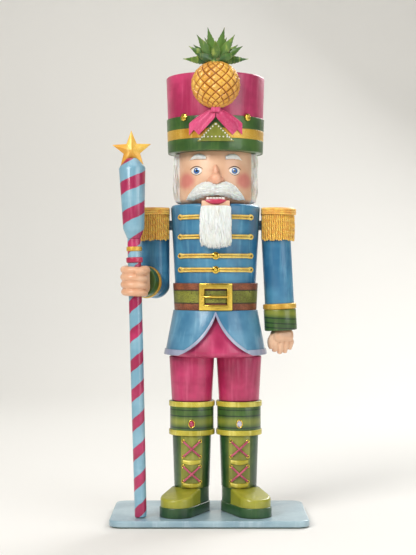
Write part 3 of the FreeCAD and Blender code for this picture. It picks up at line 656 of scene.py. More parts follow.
def bareBeech():
    graph = startMaterial("bareBeech", Specular_IOR_Level=0.35)
    grain = graph.noise(120, 6, (1, 1, 0.06), 0.65)
    pore = graph.spread(graph.noise(900, 3, (1, 1, 0.04)), 0.62, 0.74)
    tone = graph.mix(graph.spread(grain, 0.34, 0.7), tint(186, 142, 92), tint(216, 178, 128))
    tone = graph.mix(graph.times(pore, 0.6), tone, tint(120, 78, 44))
    graph.bump(graph.less(grain, pore), 0.3, 0.0002)
    # painted shade: darker in creases and where pieces meet
    return graph.finish(graph.crease(0.6, tone, tint(66, 42, 24)), graph.spread(grain, 0.2, 0.8, 0.48, 0.66))


def greenFelt():
    graph = startMaterial("greenFelt", Sheen_Weight=0.6, Sheen_Roughness=0.5, Roughness=0.9)
    fluff = graph.noise(1800, 6, rough=0.7)
    tone = graph.mix(graph.spread(graph.noise(60), 0.3, 0.7), tint(34, 74, 48), tint(52, 98, 64))
    graph.bump(fluff, 0.6, 0.0004)
    tone = graph.mix(graph.spread(fluff, 0.5, 0.75), tone, tint(96, 136, 100))
    return graph.finish(tone, graph.spread(fluff, 0.3, 0.7, 0.8, 0.98))


def pinSteel():
    graph = startMaterial("pinSteel", Metallic=1.0)
    turned = graph.noise(1600, 3, (0.05, 1, 1))
    graph.bump(turned, 0.15, 0.0001)
    tone = graph.mix(turned, tint(120, 122, 126), tint(196, 198, 202))
    return graph.finish(tone, graph.spread(turned, 0.3, 0.7, 0.22, 0.42))


def jewelEnamel(name, main, deep, light):
    graph = startMaterial(name, Coat_Weight=1.0, Coat_Roughness=0.03)
    haze = graph.noise(700)
    tone = graph.mix(graph.spread(haze, 0.35, 0.65), tint(*deep), tint(*main))
    tone = graph.mix(graph.spread(haze, 0.6, 0.75), tone, tint(*light))
    return graph.finish(tone, graph.spread(haze, 0.3, 0.7, 0.08, 0.2))


staffStripes = stripePaint()
goldCoat = goldPaint("goldPaint", (226, 178, 62), (196, 140, 40), (248, 216, 120))
limeGold = goldPaint("limeGoldPaint", (214, 200, 70), (176, 164, 44), (240, 230, 130), 0.2)
starGold = goldPaint("starGold", (238, 190, 74), (214, 152, 48), (252, 226, 138), 0.3)
brassMetal = polishedBrass()
whiteFur = furFibre()
goldThread = metallicThread("goldThread", (248, 220, 112), (230, 186, 72), (254, 240, 172), 0.25)
epauletteThread = metallicThread("epauletteThread", (254, 214, 96), (242, 168, 64), (255, 238, 160), 0.1)
fringeThread = metallicThread("fringeThread", (252, 212, 90), (240, 170, 62), (255, 240, 160), 0.08, 0.42, 520)
pinkLace = metallicThread("pinkLace", (206, 84, 118), (168, 48, 86), (232, 140, 160), 0.0)
beech = bareBeech()
print("finishes ready")


# turned and cut pieces: the frame's own shapes with their corners eased
def eased(node, finish, ease, body, name=None):
    obj = copyOf(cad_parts[node])
    obj.parent = None
    obj.matrix_world = Matrix.Identity(4)
    for key in list(obj.keys()):
        del obj[key]
    pick(obj)
    if obj.data.has_custom_normals:
        bpy.ops.mesh.customdata_custom_splitnormals_clear()
    with editing(True):
        bpy.ops.mesh.remove_doubles(threshold=0.000005)
        bpy.ops.mesh.dissolve_limited(angle_limit=math.radians(1.5))
    modify(obj, "BEVEL", width=ease, segments=3, limit_method="ANGLE", angle_limit=math.radians(40))
    first, *rest = node.split("_")
    return dress(obj, name or first + "".join(part.title() for part in rest), body, finish, (node,))


bootCuffs = cuffPaint("bootCuffPaint", (bodyX, 0, 0), 0, (0.0742, 0.0836, 0.0884), 0.0790)
armCuffs = cuffPaint("armCuffPaint", (0.0534, 0, 0.236), math.radians(-3), (-0.0822, -0.0785, -0.0745), -0.0700)
easedPieces = {
    "figure": {
        "base_plate": (paint["ice"], 0.0009, "baseBoard"),
        "base_felt": (greenFelt(), 0.0003),
        "boot_soles": (paint["darkGreen"], 0.0007),
        "boot_feet": (footPaint(), 0.0012),
        "boot_shafts": (shaftPaint(), 0.0007),
        "boot_cuffs": (bootCuffs, 0.0008),
        "boot_cuff_rims": (limeGold, 0.0007),
        "boot_tongues": (paint["olive"], 0.0004),
        "leg_dowels": (beech, 0.0005),
        "trouser_legs": (paint["pink"], 0.0008),
        "hip_block": (paint["pink"], 0.0008),
        "torso": (paint["blue"], 0.0007, "coatBody"),
        "coat_skirt": (paint["lightBlue"], 0.0005),
        "skirt_piping": (paint["lilac"], 0.00035),
        "belt": (beltLeather(), 0.0005),
        "body_dowels": (beech, 0.0005),
        "jaw_pin": (pinSteel(), 0.0003),
        "head": (facePaint(), 0.0007),
        "hat_crown": (crownPaint(), 0.0014),
        "hat_green_bands": (paint["green"], 0.00035),
        "hat_gold_band": (goldCoat, 0.00035),
    },
    "jaw": {"jaw_lever": (leverPaint(), 0.0012)},
    "left_arm": {
        "left_arm": (paint["blue"], 0.0006),
        "left_cuff": (armCuffs, 0.0008),
        "left_cuff_ring": (goldCoat, 0.0003),
        "left_shoulder_peg": (paint["blue"], 0.0003),
    },
    "right_arm": {
        "right_upper_arm": (paint["blue"], 0.0006),
        "right_forearm": (paint["blue"], 0.0006),
        "right_cuff": (paint["green"], 0.0006),
        "right_cuff_ring": (goldCoat, 0.0003),
        "right_shoulder_peg": (paint["blue"], 0.0003),
    },
    "staff": {
        "staff_shaft": (staffStripes, 0.0004),
        "staff_head": (staffStripes, 0.0008),
        "staff_collar": (paint["red"], 0.0003),
        "staff_bead": (goldCoat, 0.0003),
    },
}
for body, pieces in easedPieces.items():
    for node, (finish, ease, *name) in pieces.items():
        eased(node, finish, ease, body, *name)
print("turned pieces eased")


# fur: combed locks over a soft under-shape
def furRuns(roots, length, thick, steps, stray, curl=0.0008):
    # each root is (place, outward, along, lengthShare); a lock leaves outwards and bends along the comb
    runs = []
    for spot, out, along, share in roots:
        side = out.cross(along).normalized()
        reach = length * share * random.uniform(0.82, 1.1)
        lean = random.gauss(0, stray)
        wave = random.uniform(0, 2 * math.pi)
        size = random.uniform(0.7, 1.25)
        lift = random.uniform(0.5, 1.0)
        run = []
        for step in range(steps + 1):
            t = step / steps
            point = spot + along * reach * t + side * lean * reach * t * t
            point = point + out * (thick * 2.2 * lift * math.sin(math.pi * min(t * 1.1, 1)))
            point = point + side * curl * math.sin(wave + 5 * t) + out * curl * 0.5 * math.cos(wave + 4 * t)
            run.append((point, size * (1 - 0.85 * t ** 1.6)))
        runs.append(run)
    return runs


hairLook = {
    "radius": 0.0312, "locks": 1500, "length": 0.019, "thick": 0.00062, "topZ": 0.2925, "lowZ": 0.2575,
    "from": math.radians(78), "to": math.radians(282), "endZ": 0.2540,
}


def hairPiece():
    # locks comb downwards round the sides and the back of the head, from under the hat
    roots = []
    for index in range(hairLook["locks"]):
        angle = random.uniform(hairLook["from"], hairLook["to"])
        edge = min(abs(angle - hairLook["from"]), abs(angle - hairLook["to"]))
        height = random.uniform(hairLook["lowZ"] + 0.012, hairLook["topZ"])
        depth = hairLook["radius"] + random.uniform(-0.0006, 0.0014)
        share = min(1.0, (height - hairLook["endZ"]) / (hairLook["length"] * 1.1)) * (0.8 if edge < 0.12 else 1)
        roots.append((onDrum(angle, depth, height), outwards(angle), Vector((0, 0, -1)), share))
    runs = furRuns(roots, hairLook["length"], hairLook["thick"], 6, 0.16)
    locks = cordFrom("hairLocks", runs, hairLook["thick"], 0)
    cap = begin(
        bpy.ops.mesh.primitive_cylinder_add, vertices=96, radius=0.0322, depth=0.0392, location=(bodyX, 0, 0.2732)
    )
    with editing(True):
        bpy.ops.mesh.bisect(plane_co=(0, -0.0062, 0), plane_no=(0, -1, 0), clear_outer=True, use_fill=True)
        choose(cap, "edges", lambda edge: all(vertex.co.z < -0.019 for vertex in edge.verts))
        bpy.ops.mesh.bevel(offset=0.002, segments=3)
    settle(cap)
    return dress(joined([locks, cap]), "hair", "figure", whiteFur, ("hair",), 60)


beardLook = {
    "half": 0.0114, "topZ": 0.2508, "lowZ": 0.2172, "locks": 760, "sideLocks": 110, "length": 0.014, "thick": 0.00055,
    "y": -0.0386, "crown": 0.0012,
}


def beardPiece():
    # a tongue-shaped pad under long combed locks that fall from below the lip
    y0, crown, length = beardLook["y"], beardLook["crown"], beardLook["length"]
    pad = begin(bpy.ops.mesh.primitive_cube_add, size=1, location=(bodyX, y0, 0.2350))
    with editing():
        bpy.ops.transform.resize(value=(0.0218, 0.0046, 0.0300))
        bpy.ops.mesh.subdivide(number_cuts=5)
    settle(pad)
    for vertex in pad.data.vertices:
        t = (0.2500 - vertex.co.z) / 0.030
        narrow = 1.0 - 0.9 * max(0.0, t - 0.7) ** 1.6
        vertex.co.x = bodyX + (vertex.co.x - bodyX) * narrow
        bulge = math.cos(min(1.0, abs(vertex.co.x - bodyX) / 0.0115) * math.pi / 2)
        if vertex.co.y < y0:
            vertex.co.y -= crown * bulge * math.sin(math.pi * min(1, max(0, t)))
    modify(pad, "SUBSURF", levels=1, render_levels=1)
    roots = []
    top, low = beardLook["topZ"] - 0.001, beardLook["lowZ"]
    for index in range(beardLook["locks"]):
        u = random.uniform(-1, 1)
        t = random.random() ** 1.25
        z = top - t * 0.0265
        x = bodyX + u * beardLook["half"] * (0.94 - 0.04 * t)
        y = y0 - 0.0006 - crown * (1 - u * u) - 0.0008 * math.sin(math.pi * t) - random.uniform(0, 0.0011)
        spare = min(1.0, (z - low - 0.0022 * u ** 4) / length)
        along = Vector((-u * 0.04, 0.02, -1)).normalized()
        roots.append((Vector((x, y, z)), Vector((u * 0.35, -1, 0)).normalized(), along, spare))
    for side in (-1, 1):
        for index in range(beardLook["sideLocks"]):
            z = top - random.random() * 0.0255
            y = y0 + 0.0008 - random.uniform(0, 0.0022)
            along = Vector((-side * 0.03, 0.0, -1)).normalized()
            out = Vector((side, -0.2, 0)).normalized()
            roots.append((Vector((bodyX + side * 0.0108, y, z)), out, along, min(1.0, (z - low - 0.0024) / length)))
    locks = cordFrom("beardLocks", furRuns(roots, length, beardLook["thick"], 7, 0.13), beardLook["thick"], 0)
    return dress(joined([locks, pad]), "beard", "jaw", whiteFur, ("beard",), 60)


whiskerLook = {"radius": 0.0304, "z": 0.2616, "girth": 0.0056, "locks": 420, "thick": 0.00064, "core": 0.0036}


def whiskerLine(side, t):
    # the middle line of one wing: out from under the nose, over a hump, then down to the tip
    rise = 0.0022 * math.sin(math.pi * min(1.0, 0.2 + t * 1.1)) - 0.0058 * t ** 2.4
    girth = whiskerLook["girth"] * math.sin(math.pi * min(1.0, 0.24 + t * 0.78)) ** 0.8 + 0.0003
    return side * (t * 0.86 - 0.02), whiskerLook["z"] + rise, girth


def moustachePiece():
    # two swept wings that meet under the nose; each lock follows its wing outwards
    runs, core = [], []
    for side in (-1, 1):
        for index in range(whiskerLook["locks"]):
            row = random.uniform(-1, 1)
            layer = random.random() ** 0.6
            begins = random.random() ** 1.3 * 0.70
            ends = min(1.02, begins + random.uniform(0.26, 0.42))
            size = random.uniform(0.5, 1.25)
            wave = random.uniform(0, 6.28)
            run = []
            for step in range(8):
                share = step / 7
                t = begins + (ends - begins) * share
                angle, middle, girth = whiskerLine(side, t)
                z = middle + row * girth * (0.95 - 0.25 * share) + 0.0003 * math.sin(wave + 7 * t)
                depth = math.sqrt(max(0.0, 1 - row * row)) * girth * (0.45 + 0.65 * layer)
                run.append((onDrum(angle, whiskerLook["radius"] + depth, z), size * (1 - 0.8 * share ** 1.8)))
            runs.append(run)
        lines = [whiskerLine(side, step / 12) for step in range(13)]
        inside = whiskerLook["radius"] - 0.0006
        core.append([(onDrum(angle, inside, z), max(0.08, girth / whiskerLook["girth"])) for angle, z, girth in lines])
    locks = cordFrom("whiskers", runs, whiskerLook["thick"], 0)
    under = cordFrom("whiskerCore", core, whiskerLook["core"], 3)
    return dress(joined([locks, under]), "moustache", "figure", whiteFur, ("moustache",), 60)


browLook = {"z": 0.2879, "radius": 0.0298, "girth": 0.0022, "locks": 120, "thick": 0.00046}


def eyebrowPiece():
    runs = []
    for side in (-1, 1):
        for index in range(browLook["locks"]):
            begins = random.random() * 0.75
            ends = min(1.05, begins + random.uniform(0.22, 0.34))
            row = random.uniform(-1, 1)
            run = []
            for step in range(6):
                t = begins + (ends - begins) * step / 5
                girth = browLook["girth"] * math.sin(math.pi * min(1, 0.15 + t * 0.85))
                z = browLook["z"] + 0.0018 * math.sin(math.pi * t * 0.9) - 0.0016 * t * t + row * girth * 0.8
                depth = browLook["radius"] + math.sqrt(max(0, 1 - row * row)) * girth * 0.8
                run.append((onDrum(side * (0.25 + 0.50 * t), depth, z), 1.05 - 0.8 * step / 5))
            runs.append(run)
    locks = cordFrom("brows", runs, browLook["thick"], 0)
    return dress(locks, "eyebrows", "figure", whiteFur, ("eyebrows",), 60)


hairPiece()
beardPiece()
moustachePiece()
eyebrowPiece()
print("fur combed")


# hat badge: a carved pineapple, its leaves, ribbon tails and studs
hatShape = {"lowZ": 0.2934, "topZ": 0.3544, "low": 0.0374, "top": 0.0396, "bandProud": 0.0009}


def hatRadius(z):
    share = (z - hatShape["lowZ"]) / (hatShape["topZ"] - hatShape["lowZ"])
    return between(share, hatShape["low"], hatShape["top"])


def onHat(x, z, lift=0.0):
    # a point that stands off the hat's bands
    return onFront(x, hatRadius(z) + hatShape["bandProud"] + lift, z)


pineapple = {
    "size": (0.0190, 0.0128, 0.0184), "z": 0.3440, "around": 13, "rows": 7.5, "carve": 0.0012, "hatRadius": 0.0388,
}


def pineappleBadge():
    # crossing grooves are carved between scales, and each scale has a raised eye
    fruit = begin(bpy.ops.mesh.primitive_uv_sphere_add, segments=156, ring_count=104, radius=1)
    wide, deep, high = pineapple["size"]
    reliefs, eyes = [], []
    for vertex in fruit.data.vertices:
        unit = vertex.co.normalized()
        around = math.atan2(unit.x, -unit.y) / (2 * math.pi) * pineapple["around"]
        height = math.asin(max(-1, min(1, unit.z))) / math.pi * pineapple["rows"]
        near = [abs(turn - round(turn)) for turn in (around + height, around - height)]
        rise = min(1.0, min(near) / 0.17)
        rise = rise * rise * (3 - 2 * rise)
        centre = 1 - min(1.0, math.hypot(near[0] - 0.5, near[1] - 0.5) / 0.2)
        ends = max(0.0, 1 - abs(unit.z)) ** 0.35
        out = Vector((unit.x / wide, unit.y / deep, unit.z / high)).normalized()
        lift = (rise + 0.45 * centre - 1.0) * pineapple["carve"] * min(1.0, ends * 1.3)
        vertex.co = Vector((unit.x * wide, unit.y * deep, unit.z * high)) + out * lift
        reliefs.append(rise)
        eyes.append(centre)
    for label, values in (("relief", reliefs), ("eye", eyes)):
        fruit.data.attributes.new(label, "FLOAT", "POINT").data.foreach_set("value", values)
    shift(fruit, (bodyX, -hatRadius(pineapple["z"]), pineapple["z"]))
    crown = begin(
        bpy.ops.mesh.primitive_cylinder_add, vertices=160, radius=pineapple["hatRadius"], depth=0.08,
        location=(bodyX, 0, 0.3152),
    )
    cutAway(fruit, crown)
    return dress(fruit, "pineapple", "figure", pineapplePaint(), ("pineapple",), 50)


leafSets = [
    # fan angle from upright, lean forwards, length, width, how far it bows
    (-88, 6, 0.0225, 0.0056, -0.10), (88, 6, 0.0225, 0.0056, -0.10),
    (-62, 14, 0.0228, 0.0060, 0.16), (62, 14, 0.0228, 0.0060, 0.16),
    (-36, 20, 0.0255, 0.0062, 0.18), (36, 20, 0.0255, 0.0062, 0.18),
    (-13, 11, 0.0265, 0.0061, 0.10), (14, 9, 0.0268, 0.0061, 0.11),
    (0, 36, 0.0180, 0.0060, 0.25), (-74, 34, 0.0170, 0.0050, 0.1), (74, 34, 0.0170, 0.0050, 0.1),
    (-50, -14, 0.0210, 0.0058, 0.15), (50, -14, 0.0210, 0.0058, 0.15),
    (-22, -18, 0.0215, 0.0058, 0.12), (22, -18, 0.0215, 0.0058, 0.12), (0, -30, 0.0190, 0.0058, 0.2),
]
leafRows = {"across": 6, "along": 18}
crownRoot = Vector((bodyX, -0.0372, 0.3618))


def leafBlade(angle, lean, length, width, bow):
    # one strap leaf: keeled, arched, narrowing to a point, with fine teeth on its edges
    along = leafRows["along"]
    blade = begin(
        bpy.ops.mesh.primitive_grid_add, x_subdivisions=leafRows["across"], y_subdivisions=along, size=1
    )
    for vertex in blade.data.vertices:
        u, t = vertex.co.x * 2, vertex.co.y + 0.5
        girth = width / 2 * (0.62 + 0.6 * math.sin(math.pi * min(1, t * 1.15)) ** 0.9) * (1 - t ** 2.4) + 0.00012
        tooth = 1 + 0.07 * (1 if round(t * along) % 2 else -1) * (1 if abs(u) > 0.9 and t < 0.93 else 0)
        keel = -0.0011 * (1 - abs(u)) * (1 - t) - 0.0005
        y = keel + length * 0.064 * math.sin(t * 2.2) - length * abs(bow) * t * t * 0.6
        vertex.co = Vector((u * girth * tooth, y, t * length * (1 - 0.04 * t) - bow * length * 0.25 * t * t))
    thicken(blade, 0.0007)
    angle, lean = math.radians(angle), math.radians(lean)
    root = crownRoot + Vector((math.sin(angle) * 0.0036, -0.0030 * math.sin(lean), 0.0012 + 0.0012 * math.cos(angle)))
    return shift(blade, root, Matrix.Rotation(angle, 4, "Y") @ Matrix.Rotation(lean, 4, "X"))


def pineappleCrown():
    blades = [leafBlade(*row) for row in leafSets]
    heart = begin(
        bpy.ops.mesh.primitive_cone_add, vertices=24, radius1=0.0066, radius2=0.0036, depth=0.0050,
        location=crownRoot + Vector((0, 0, 0.0006)),
    )
    with editing(True):
        bpy.ops.mesh.bevel(offset=0.0008, segments=3)
    settle(heart)
    crown = pick(joined(blades + [heart]))
    with editing(True):
        bpy.ops.mesh.normals_make_consistent(inside=False)
    return dress(crown, "pineappleLeaves", "figure", paint["leaf"], ("pineapple_leaves",), 50)


ribbonLook = {"knotZ": 0.3246, "endZ": 0.3052, "knotHalf": 0.0034, "reach": 0.0208, "ripple": 0.0011, "thick": 0.0004}


def ribbonTails():
    # two broad tails fan out from the knot; their inner edges leave room for the peak
    tails = []
    for side in (-1, 1):
        tail = begin(bpy.ops.mesh.primitive_grid_add, x_subdivisions=18, y_subdivisions=26, size=1)
        for vertex in tail.data.vertices:
            u, t = vertex.co.x * 2, vertex.co.y + 0.5
            outer = between(min(1.0, t * 1.9) ** 0.75, ribbonLook["knotHalf"], ribbonLook["reach"])
            inner = 0.0004 + 0.0128 * max(0.0, (t - 0.3) / 0.7) ** 1.1
            notch = 0.0042 * (1 - abs(u)) * max(0.0, t - 0.6) / 0.4
            z = between(t, ribbonLook["knotZ"], ribbonLook["endZ"]) + notch
            fold = ribbonLook["ripple"] * math.cos(u * 5.0 + 0.6) * (0.3 + 0.7 * math.sin(math.pi * min(1, t + 0.1)))
            fold = fold + 0.0009 * math.sin(math.pi * t)
            vertex.co = onHat(side * between((side * u + 1) / 2, inner, outer), z, 0.0010 + fold)
        tails.append(thicken(tail, ribbonLook["thick"]))
    knot = begin(bpy.ops.mesh.primitive_cube_add, size=1)
    with editing():
        bpy.ops.transform.resize(value=(0.0074, 0.0034, 0.0056))
        bpy.ops.mesh.bevel(offset=0.0013, segments=4)
        bpy.ops.mesh.subdivide(number_cuts=2)
    for vertex in knot.data.vertices:
        vertex.co.y *= 1 + 0.06 * math.cos(vertex.co.x * 2600)
        vertex.co.z *= 1 - 0.18 * math.cos(vertex.co.x * 420)
    tails.append(shift(knot, (bodyX, -hatRadius(0.325) - 0.0022, ribbonLook["knotZ"] + 0.0001)))
    finish = satinRibbon()
    return dress(tidyMesh(joined(tails)), "hatRibbon", "figure", finish, ("hat_ribbon_tails",), 60)


def hatPeak():
    # a pointed plate over the gold band
    plate = begin(bpy.ops.mesh.primitive_grid_add, x_subdivisions=30, y_subdivisions=20, size=1)
    for vertex in plate.data.vertices:
        u, t = vertex.co.x * 2, vertex.co.y + 0.5
        half = 0.0006 + 0.0138 * (1 - t) ** 0.95
        vertex.co = onHat(u * half, 0.3002 + t * 0.0146, 0.0004)
    thicken(plate, 0.0010, 0.0003)
    return dress(tidyMesh(plate), "hatPeak", "figure", paint["olive"], ("hat_peak",), 50)


def pearlDots():
    # one pearl is shaped once and copied along both sloping edges and the foot of the plate
    first = begin(bpy.ops.mesh.primitive_uv_sphere_add, segments=12, ring_count=8, radius=0.00062)
    with editing():
        bpy.ops.transform.resize(value=(1, 0.7, 1))
    spots = []
    for side in (-1, 1):
        for index in range(8):
            t = index / 7
            half = 0.0004 + 0.0118 * (1 - t) ** 0.95
            spots.append(onHat(side * half, 0.3016 + t * 0.0116, 0.0011))
    spots += [onHat((index - 3) * 0.0030, 0.3036, 0.0011) for index in range(7)]
    dots = copies(first, [(spot, None) for spot in spots])
    return dress(dots, "pearlDots", "figure", paint["white"], (), 80)


studLook = {"x": 0.0245, "z": 0.3196, "radius": 0.0030, "core": 0.0013}
studSteps = ((0.0007, 0.0004), (0.0007, 0.0001), (0.0005, -0.0003), (0.0003, 0.0004), (0.0003, 0.0002))


def rosettes():
    # eight-petalled studs
    made = []
    for side in (-1, 1):
        stud = begin(
            bpy.ops.mesh.primitive_cylinder_add, vertices=48, radius=studLook["radius"], depth=0.0014,
            end_fill_type="NGON",
        )
        with editing():
            terrace(stud, studSteps)
        for vertex in stud.data.vertices:
            if math.hypot(vertex.co.x, vertex.co.y) > studLook["core"]:
                petal = 0.86 + 0.14 * abs(math.cos(4 * math.atan2(vertex.co.y, vertex.co.x)))
                vertex.co.x *= petal
                vertex.co.y *= petal
        x, z = side * studLook["x"], studLook["z"]
        radius = hatRadius(z) + hatShape["bandProud"]
        angle = turnTo(x, radius)
        made.append(shift(stud, onDrum(angle, radius + 0.0006, z), Matrix.Rotation(angle, 4, "Z") @ ahead))
    return dress(joined(made), "hatRosettes", "figure", brassMetal, ("hat_rosettes",), 30)


pineappleBadge()
pineappleCrown()
ribbonTails()
hatPeak()
pearlDots()
rosettes()
print("hat trimmed")


# face details
eyeLook = {
    "x": 0.0150, "z": 0.2780, "halfWide": 0.0044, "halfHigh": 0.0033, "radius": 0.0295, "glint": (-0.0008, 0.0009),
}


def eyePaint():
    # white ground, blue iris with a darker rim, black pupil, a painted highlight as a white glint, and painted shade
    # where the eye meets the head
    graph = startMaterial("eyePaint", Coat_Weight=0.9, Coat_Roughness=0.05)
    nearest = []
    for shiftX, shiftZ in ((0, 0), eyeLook["glint"]):
        spots = [(bodyX + side * eyeLook["x"] + shiftX, -0.0262, eyeLook["z"] + shiftZ) for side in (-1, 1)]
        nearest.append(graph.maths("MINIMUM", *(graph.reach(spot, (1, 0, 1)) for spot in spots)))
    distance, glint = nearest
    rough = graph.add(distance, graph.wobble(0.0004, 1600, 2))
    tone = graph.mix(graph.spread(rough, 0.0004, 0.0021), tint(92, 156, 214), tint(38, 92, 168))
    tone = graph.mix(graph.spread(rough, 0.00185, 0.00205), tone, tint(22, 50, 110))
    tone = graph.mix(graph.spread(distance, 0.00225, 0.0024), tone, tint(248, 247, 243))
    tone = graph.mix(graph.spread(distance, 0.00095, 0.0011, 1.0, 0.0), tone, tint(14, 16, 24))
    # painted highlight: a white glint up and to one side of each pupil; then painted shade where the eye meets the
    # head
    tone = graph.mix(graph.spread(glint, 0.00035, 0.0005, 1.0, 0.0), tone, tint(255, 255, 255))
    tone = graph.crease(0.5, tone, tint(110, 74, 60))
    return graph.finish(tone, graph.spread(graph.noise(300), 0.3, 0.7, 0.14, 0.26))


def eyes():
    balls = []
    for side in (-1, 1):
        ball = begin(bpy.ops.mesh.primitive_uv_sphere_add, segments=40, ring_count=24, radius=1)
        for vertex in ball.data.vertices:
            x, y, z = vertex.co
            height = eyeLook["z"] + z * eyeLook["halfHigh"] * (1 - 0.18 * abs(x))
            depth = eyeLook["radius"] - 0.0004 + 0.0013 * max(-0.2, -y)
            vertex.co = onDrum(turnTo(side * eyeLook["x"] + x * eyeLook["halfWide"], eyeLook["radius"]), depth, height)
        balls.append(ball)
    return dress(joined(balls), "eyes", "figure", eyePaint(), ("eyes",), 80)


def lidLines():
    # a painted lash line above each eye and a finer one below
    runs = []
    for side in (-1, 1):
        for lift, reach, size in ((1, 1.14, 1.0), (-1, 0.92, 0.5)):
            run = []
            for step in range(15):
                u = -1 + 2 * step / 14
                angle = turnTo(side * eyeLook["x"] + u * eyeLook["halfWide"] * reach, eyeLook["radius"])
                rise = eyeLook["halfHigh"] * 1.02 * math.sqrt(max(0, 1 - (u * 0.96) ** 2)) * (1 - 0.12 * abs(u))
                z = eyeLook["z"] + lift * rise + (0.0002 if lift > 0 else 0)
                share = size * (0.35 + 0.65 * math.cos(u * math.pi / 2))
                run.append((onDrum(angle, eyeLook["radius"] + 0.00012, z), share))
            runs.append(run)
    lines = cordFrom("lidLines", runs, 0.00036, 1)
    return dress(lines, "lidLines", "figure", paint["umber"], (), 80)


noseLook = {"z": 0.2722, "y": -0.0318}
noseParts = [
    # place from the nose's middle, then size: the bulb, two wings and the bridge
    ((0, -0.0012, -0.0008), (0.0048, 0.0050, 0.0044)),
    ((0.0040, 0.0016, -0.0016), (0.0026, 0.0036, 0.0028)),
    ((-0.0040, 0.0016, -0.0016), (0.0026, 0.0036, 0.0028)),
    ((0, 0.0020, 0.0040), (0.0026, 0.0040, 0.0066)),
]


def melted(objs, voxel, rounds, factor=0.5):
    # pieces of one carved shape, grown together and rubbed smooth
    shape = modify(joined(objs), "REMESH", mode="VOXEL", voxel_size=voxel)
    return modify(shape, "SMOOTH", factor=factor, iterations=rounds)


def noseShape():
    parts = []
    for spot, size in noseParts:
        part = begin(bpy.ops.mesh.primitive_uv_sphere_add, segments=32, ring_count=20, radius=1)
        with editing():
            bpy.ops.transform.resize(value=size)
            bpy.ops.transform.translate(value=(spot[0] + bodyX, spot[1] + noseLook["y"], spot[2] + noseLook["z"]))
        parts.append(settle(part))
    return dress(melted(parts, 0.00035, 9, 0.6), "nose", "figure", paint["nose"], ("nose",), 80)


def lowerLip():
    # a full lip that narrows to its corners, with a dip in the middle
    lip = begin(bpy.ops.mesh.primitive_uv_sphere_add, segments=48, ring_count=24, radius=1)
    for vertex in lip.data.vertices:
        x, y, z = vertex.co
        full = (1 - abs(x) ** 2.2) ** 0.7 if abs(x) < 1 else 0
        dip = 0.00045 * math.exp(-((x * 0.0085 / 0.0016) ** 2)) if z > 0 else 0
        height = 0.2533 + z * 0.0023 * (0.4 + 0.6 * full) + 0.0009 * x * x - dip
        vertex.co = Vector((bodyX + x * 0.0085, -0.0356 + y * 0.0019 * (0.5 + 0.5 * full), height))
    return dress(lip, "lowerLip", "jaw", paint["red"], ("lower_lip",), 80)


eyes()
lidLines()
noseShape()
lowerLip()
eased("jaw_teeth", paint["white"], 0.0003, "jaw")
print("face done")


# coat trim: braids, buttons, buckle, epaulettes and their fringe
coatShape = {"lowZ": 0.168, "topZ": 0.252, "low": 0.0315, "top": 0.036}
up = Vector((0, 0, 1))


def coatRadius(z):
    share = (z - coatShape["lowZ"]) / (coatShape["topZ"] - coatShape["lowZ"])
    return coatShape["low"] + share * (coatShape["top"] - coatShape["low"])


braidLook = {"heights": (0.2415, 0.2260, 0.2110, 0.2000), "half": 0.0290, "cord": 0.00090, "gap": 0.00098}


def onCoat(x, z):
    # where a braid lies on the coat, and which way is outwards there
    radius = coatRadius(z) + braidLook["cord"] * 0.9
    angle = math.asin(x / radius)
    return onDrum(angle, radius, z), outwards(angle)


def braids():
    # each row is two laid cords side by side that close in a small loop at the outer end
    runs = []
    end = braidLook["half"] - 0.0012
    for row, z in enumerate(braidLook["heights"]):
        inner = 0.0125 if row < 2 else 0.0029
        for side in (-1, 1):
            for lane in (-1, 1):

                def path(share, side=side, lane=lane, z=z, inner=inner):
                    flare = 1 + 1.5 * max(0.0, share - 0.9) * 5 * (1 - share) * 10
                    return *onCoat(side * (inner + (end - inner) * share), z + lane * braidLook["gap"] * flare), up

                runs += twistedCord(path, braidLook["cord"], (braidLook["half"] - inner) / 0.0021, 3, 7)

            def loop(share, side=side, z=z):
                way = math.pi * 1.35 * (share - 0.5) * 2
                spot, out = onCoat(side * (end + 0.0015 * math.cos(way)), z + 0.0016 * math.sin(way))
                tangent = Vector((-math.sin(way), 0, math.cos(way)))
                return spot, out, tangent.cross(out).normalized()

            runs += twistedCord(loop, braidLook["cord"] * 0.9, 4.5, 3, 7)
    cords = cordFrom("braids", runs, braidLook["cord"] * 0.52, 1)
    return dress(cords, "coatBraids", "figure", goldThread, ("coat_braids",), 70)


buttonLook = {"radius": 0.0029, "depth": 0.0022, "heights": (0.2110, 0.2000)}
buttonSteps = [
    # the share of the radius inset, then the share of the depth lifted: rolled rim, hollow, raised middle
    (0.12, 0.16), (0.14, 0.04), (0.1, -0.16), (0.1, 0.02), (0.1, 0.2), (0.16, 0.12), (0.14, 0.04),
]


def coatButtons():
    made = []
    radius, depth = buttonLook["radius"], buttonLook["depth"]
    for z in buttonLook["heights"]:
        button = begin(
            bpy.ops.mesh.primitive_cylinder_add, vertices=48, radius=radius, depth=depth * 0.5, end_fill_type="NGON"
        )
        with editing():
            terrace(button, [(shrink * radius, rise * depth) for shrink, rise in buttonSteps])
        made.append(shift(button, (bodyX, -coatRadius(z) - 0.0006, z), ahead))
    return dress(joined(made), "coatButtons", "figure", brassMetal, ("coat_buttons",), 40)


buckleLook = {"wide": 0.0258, "high": 0.0212, "bar": 0.0042, "z": 0.17875}


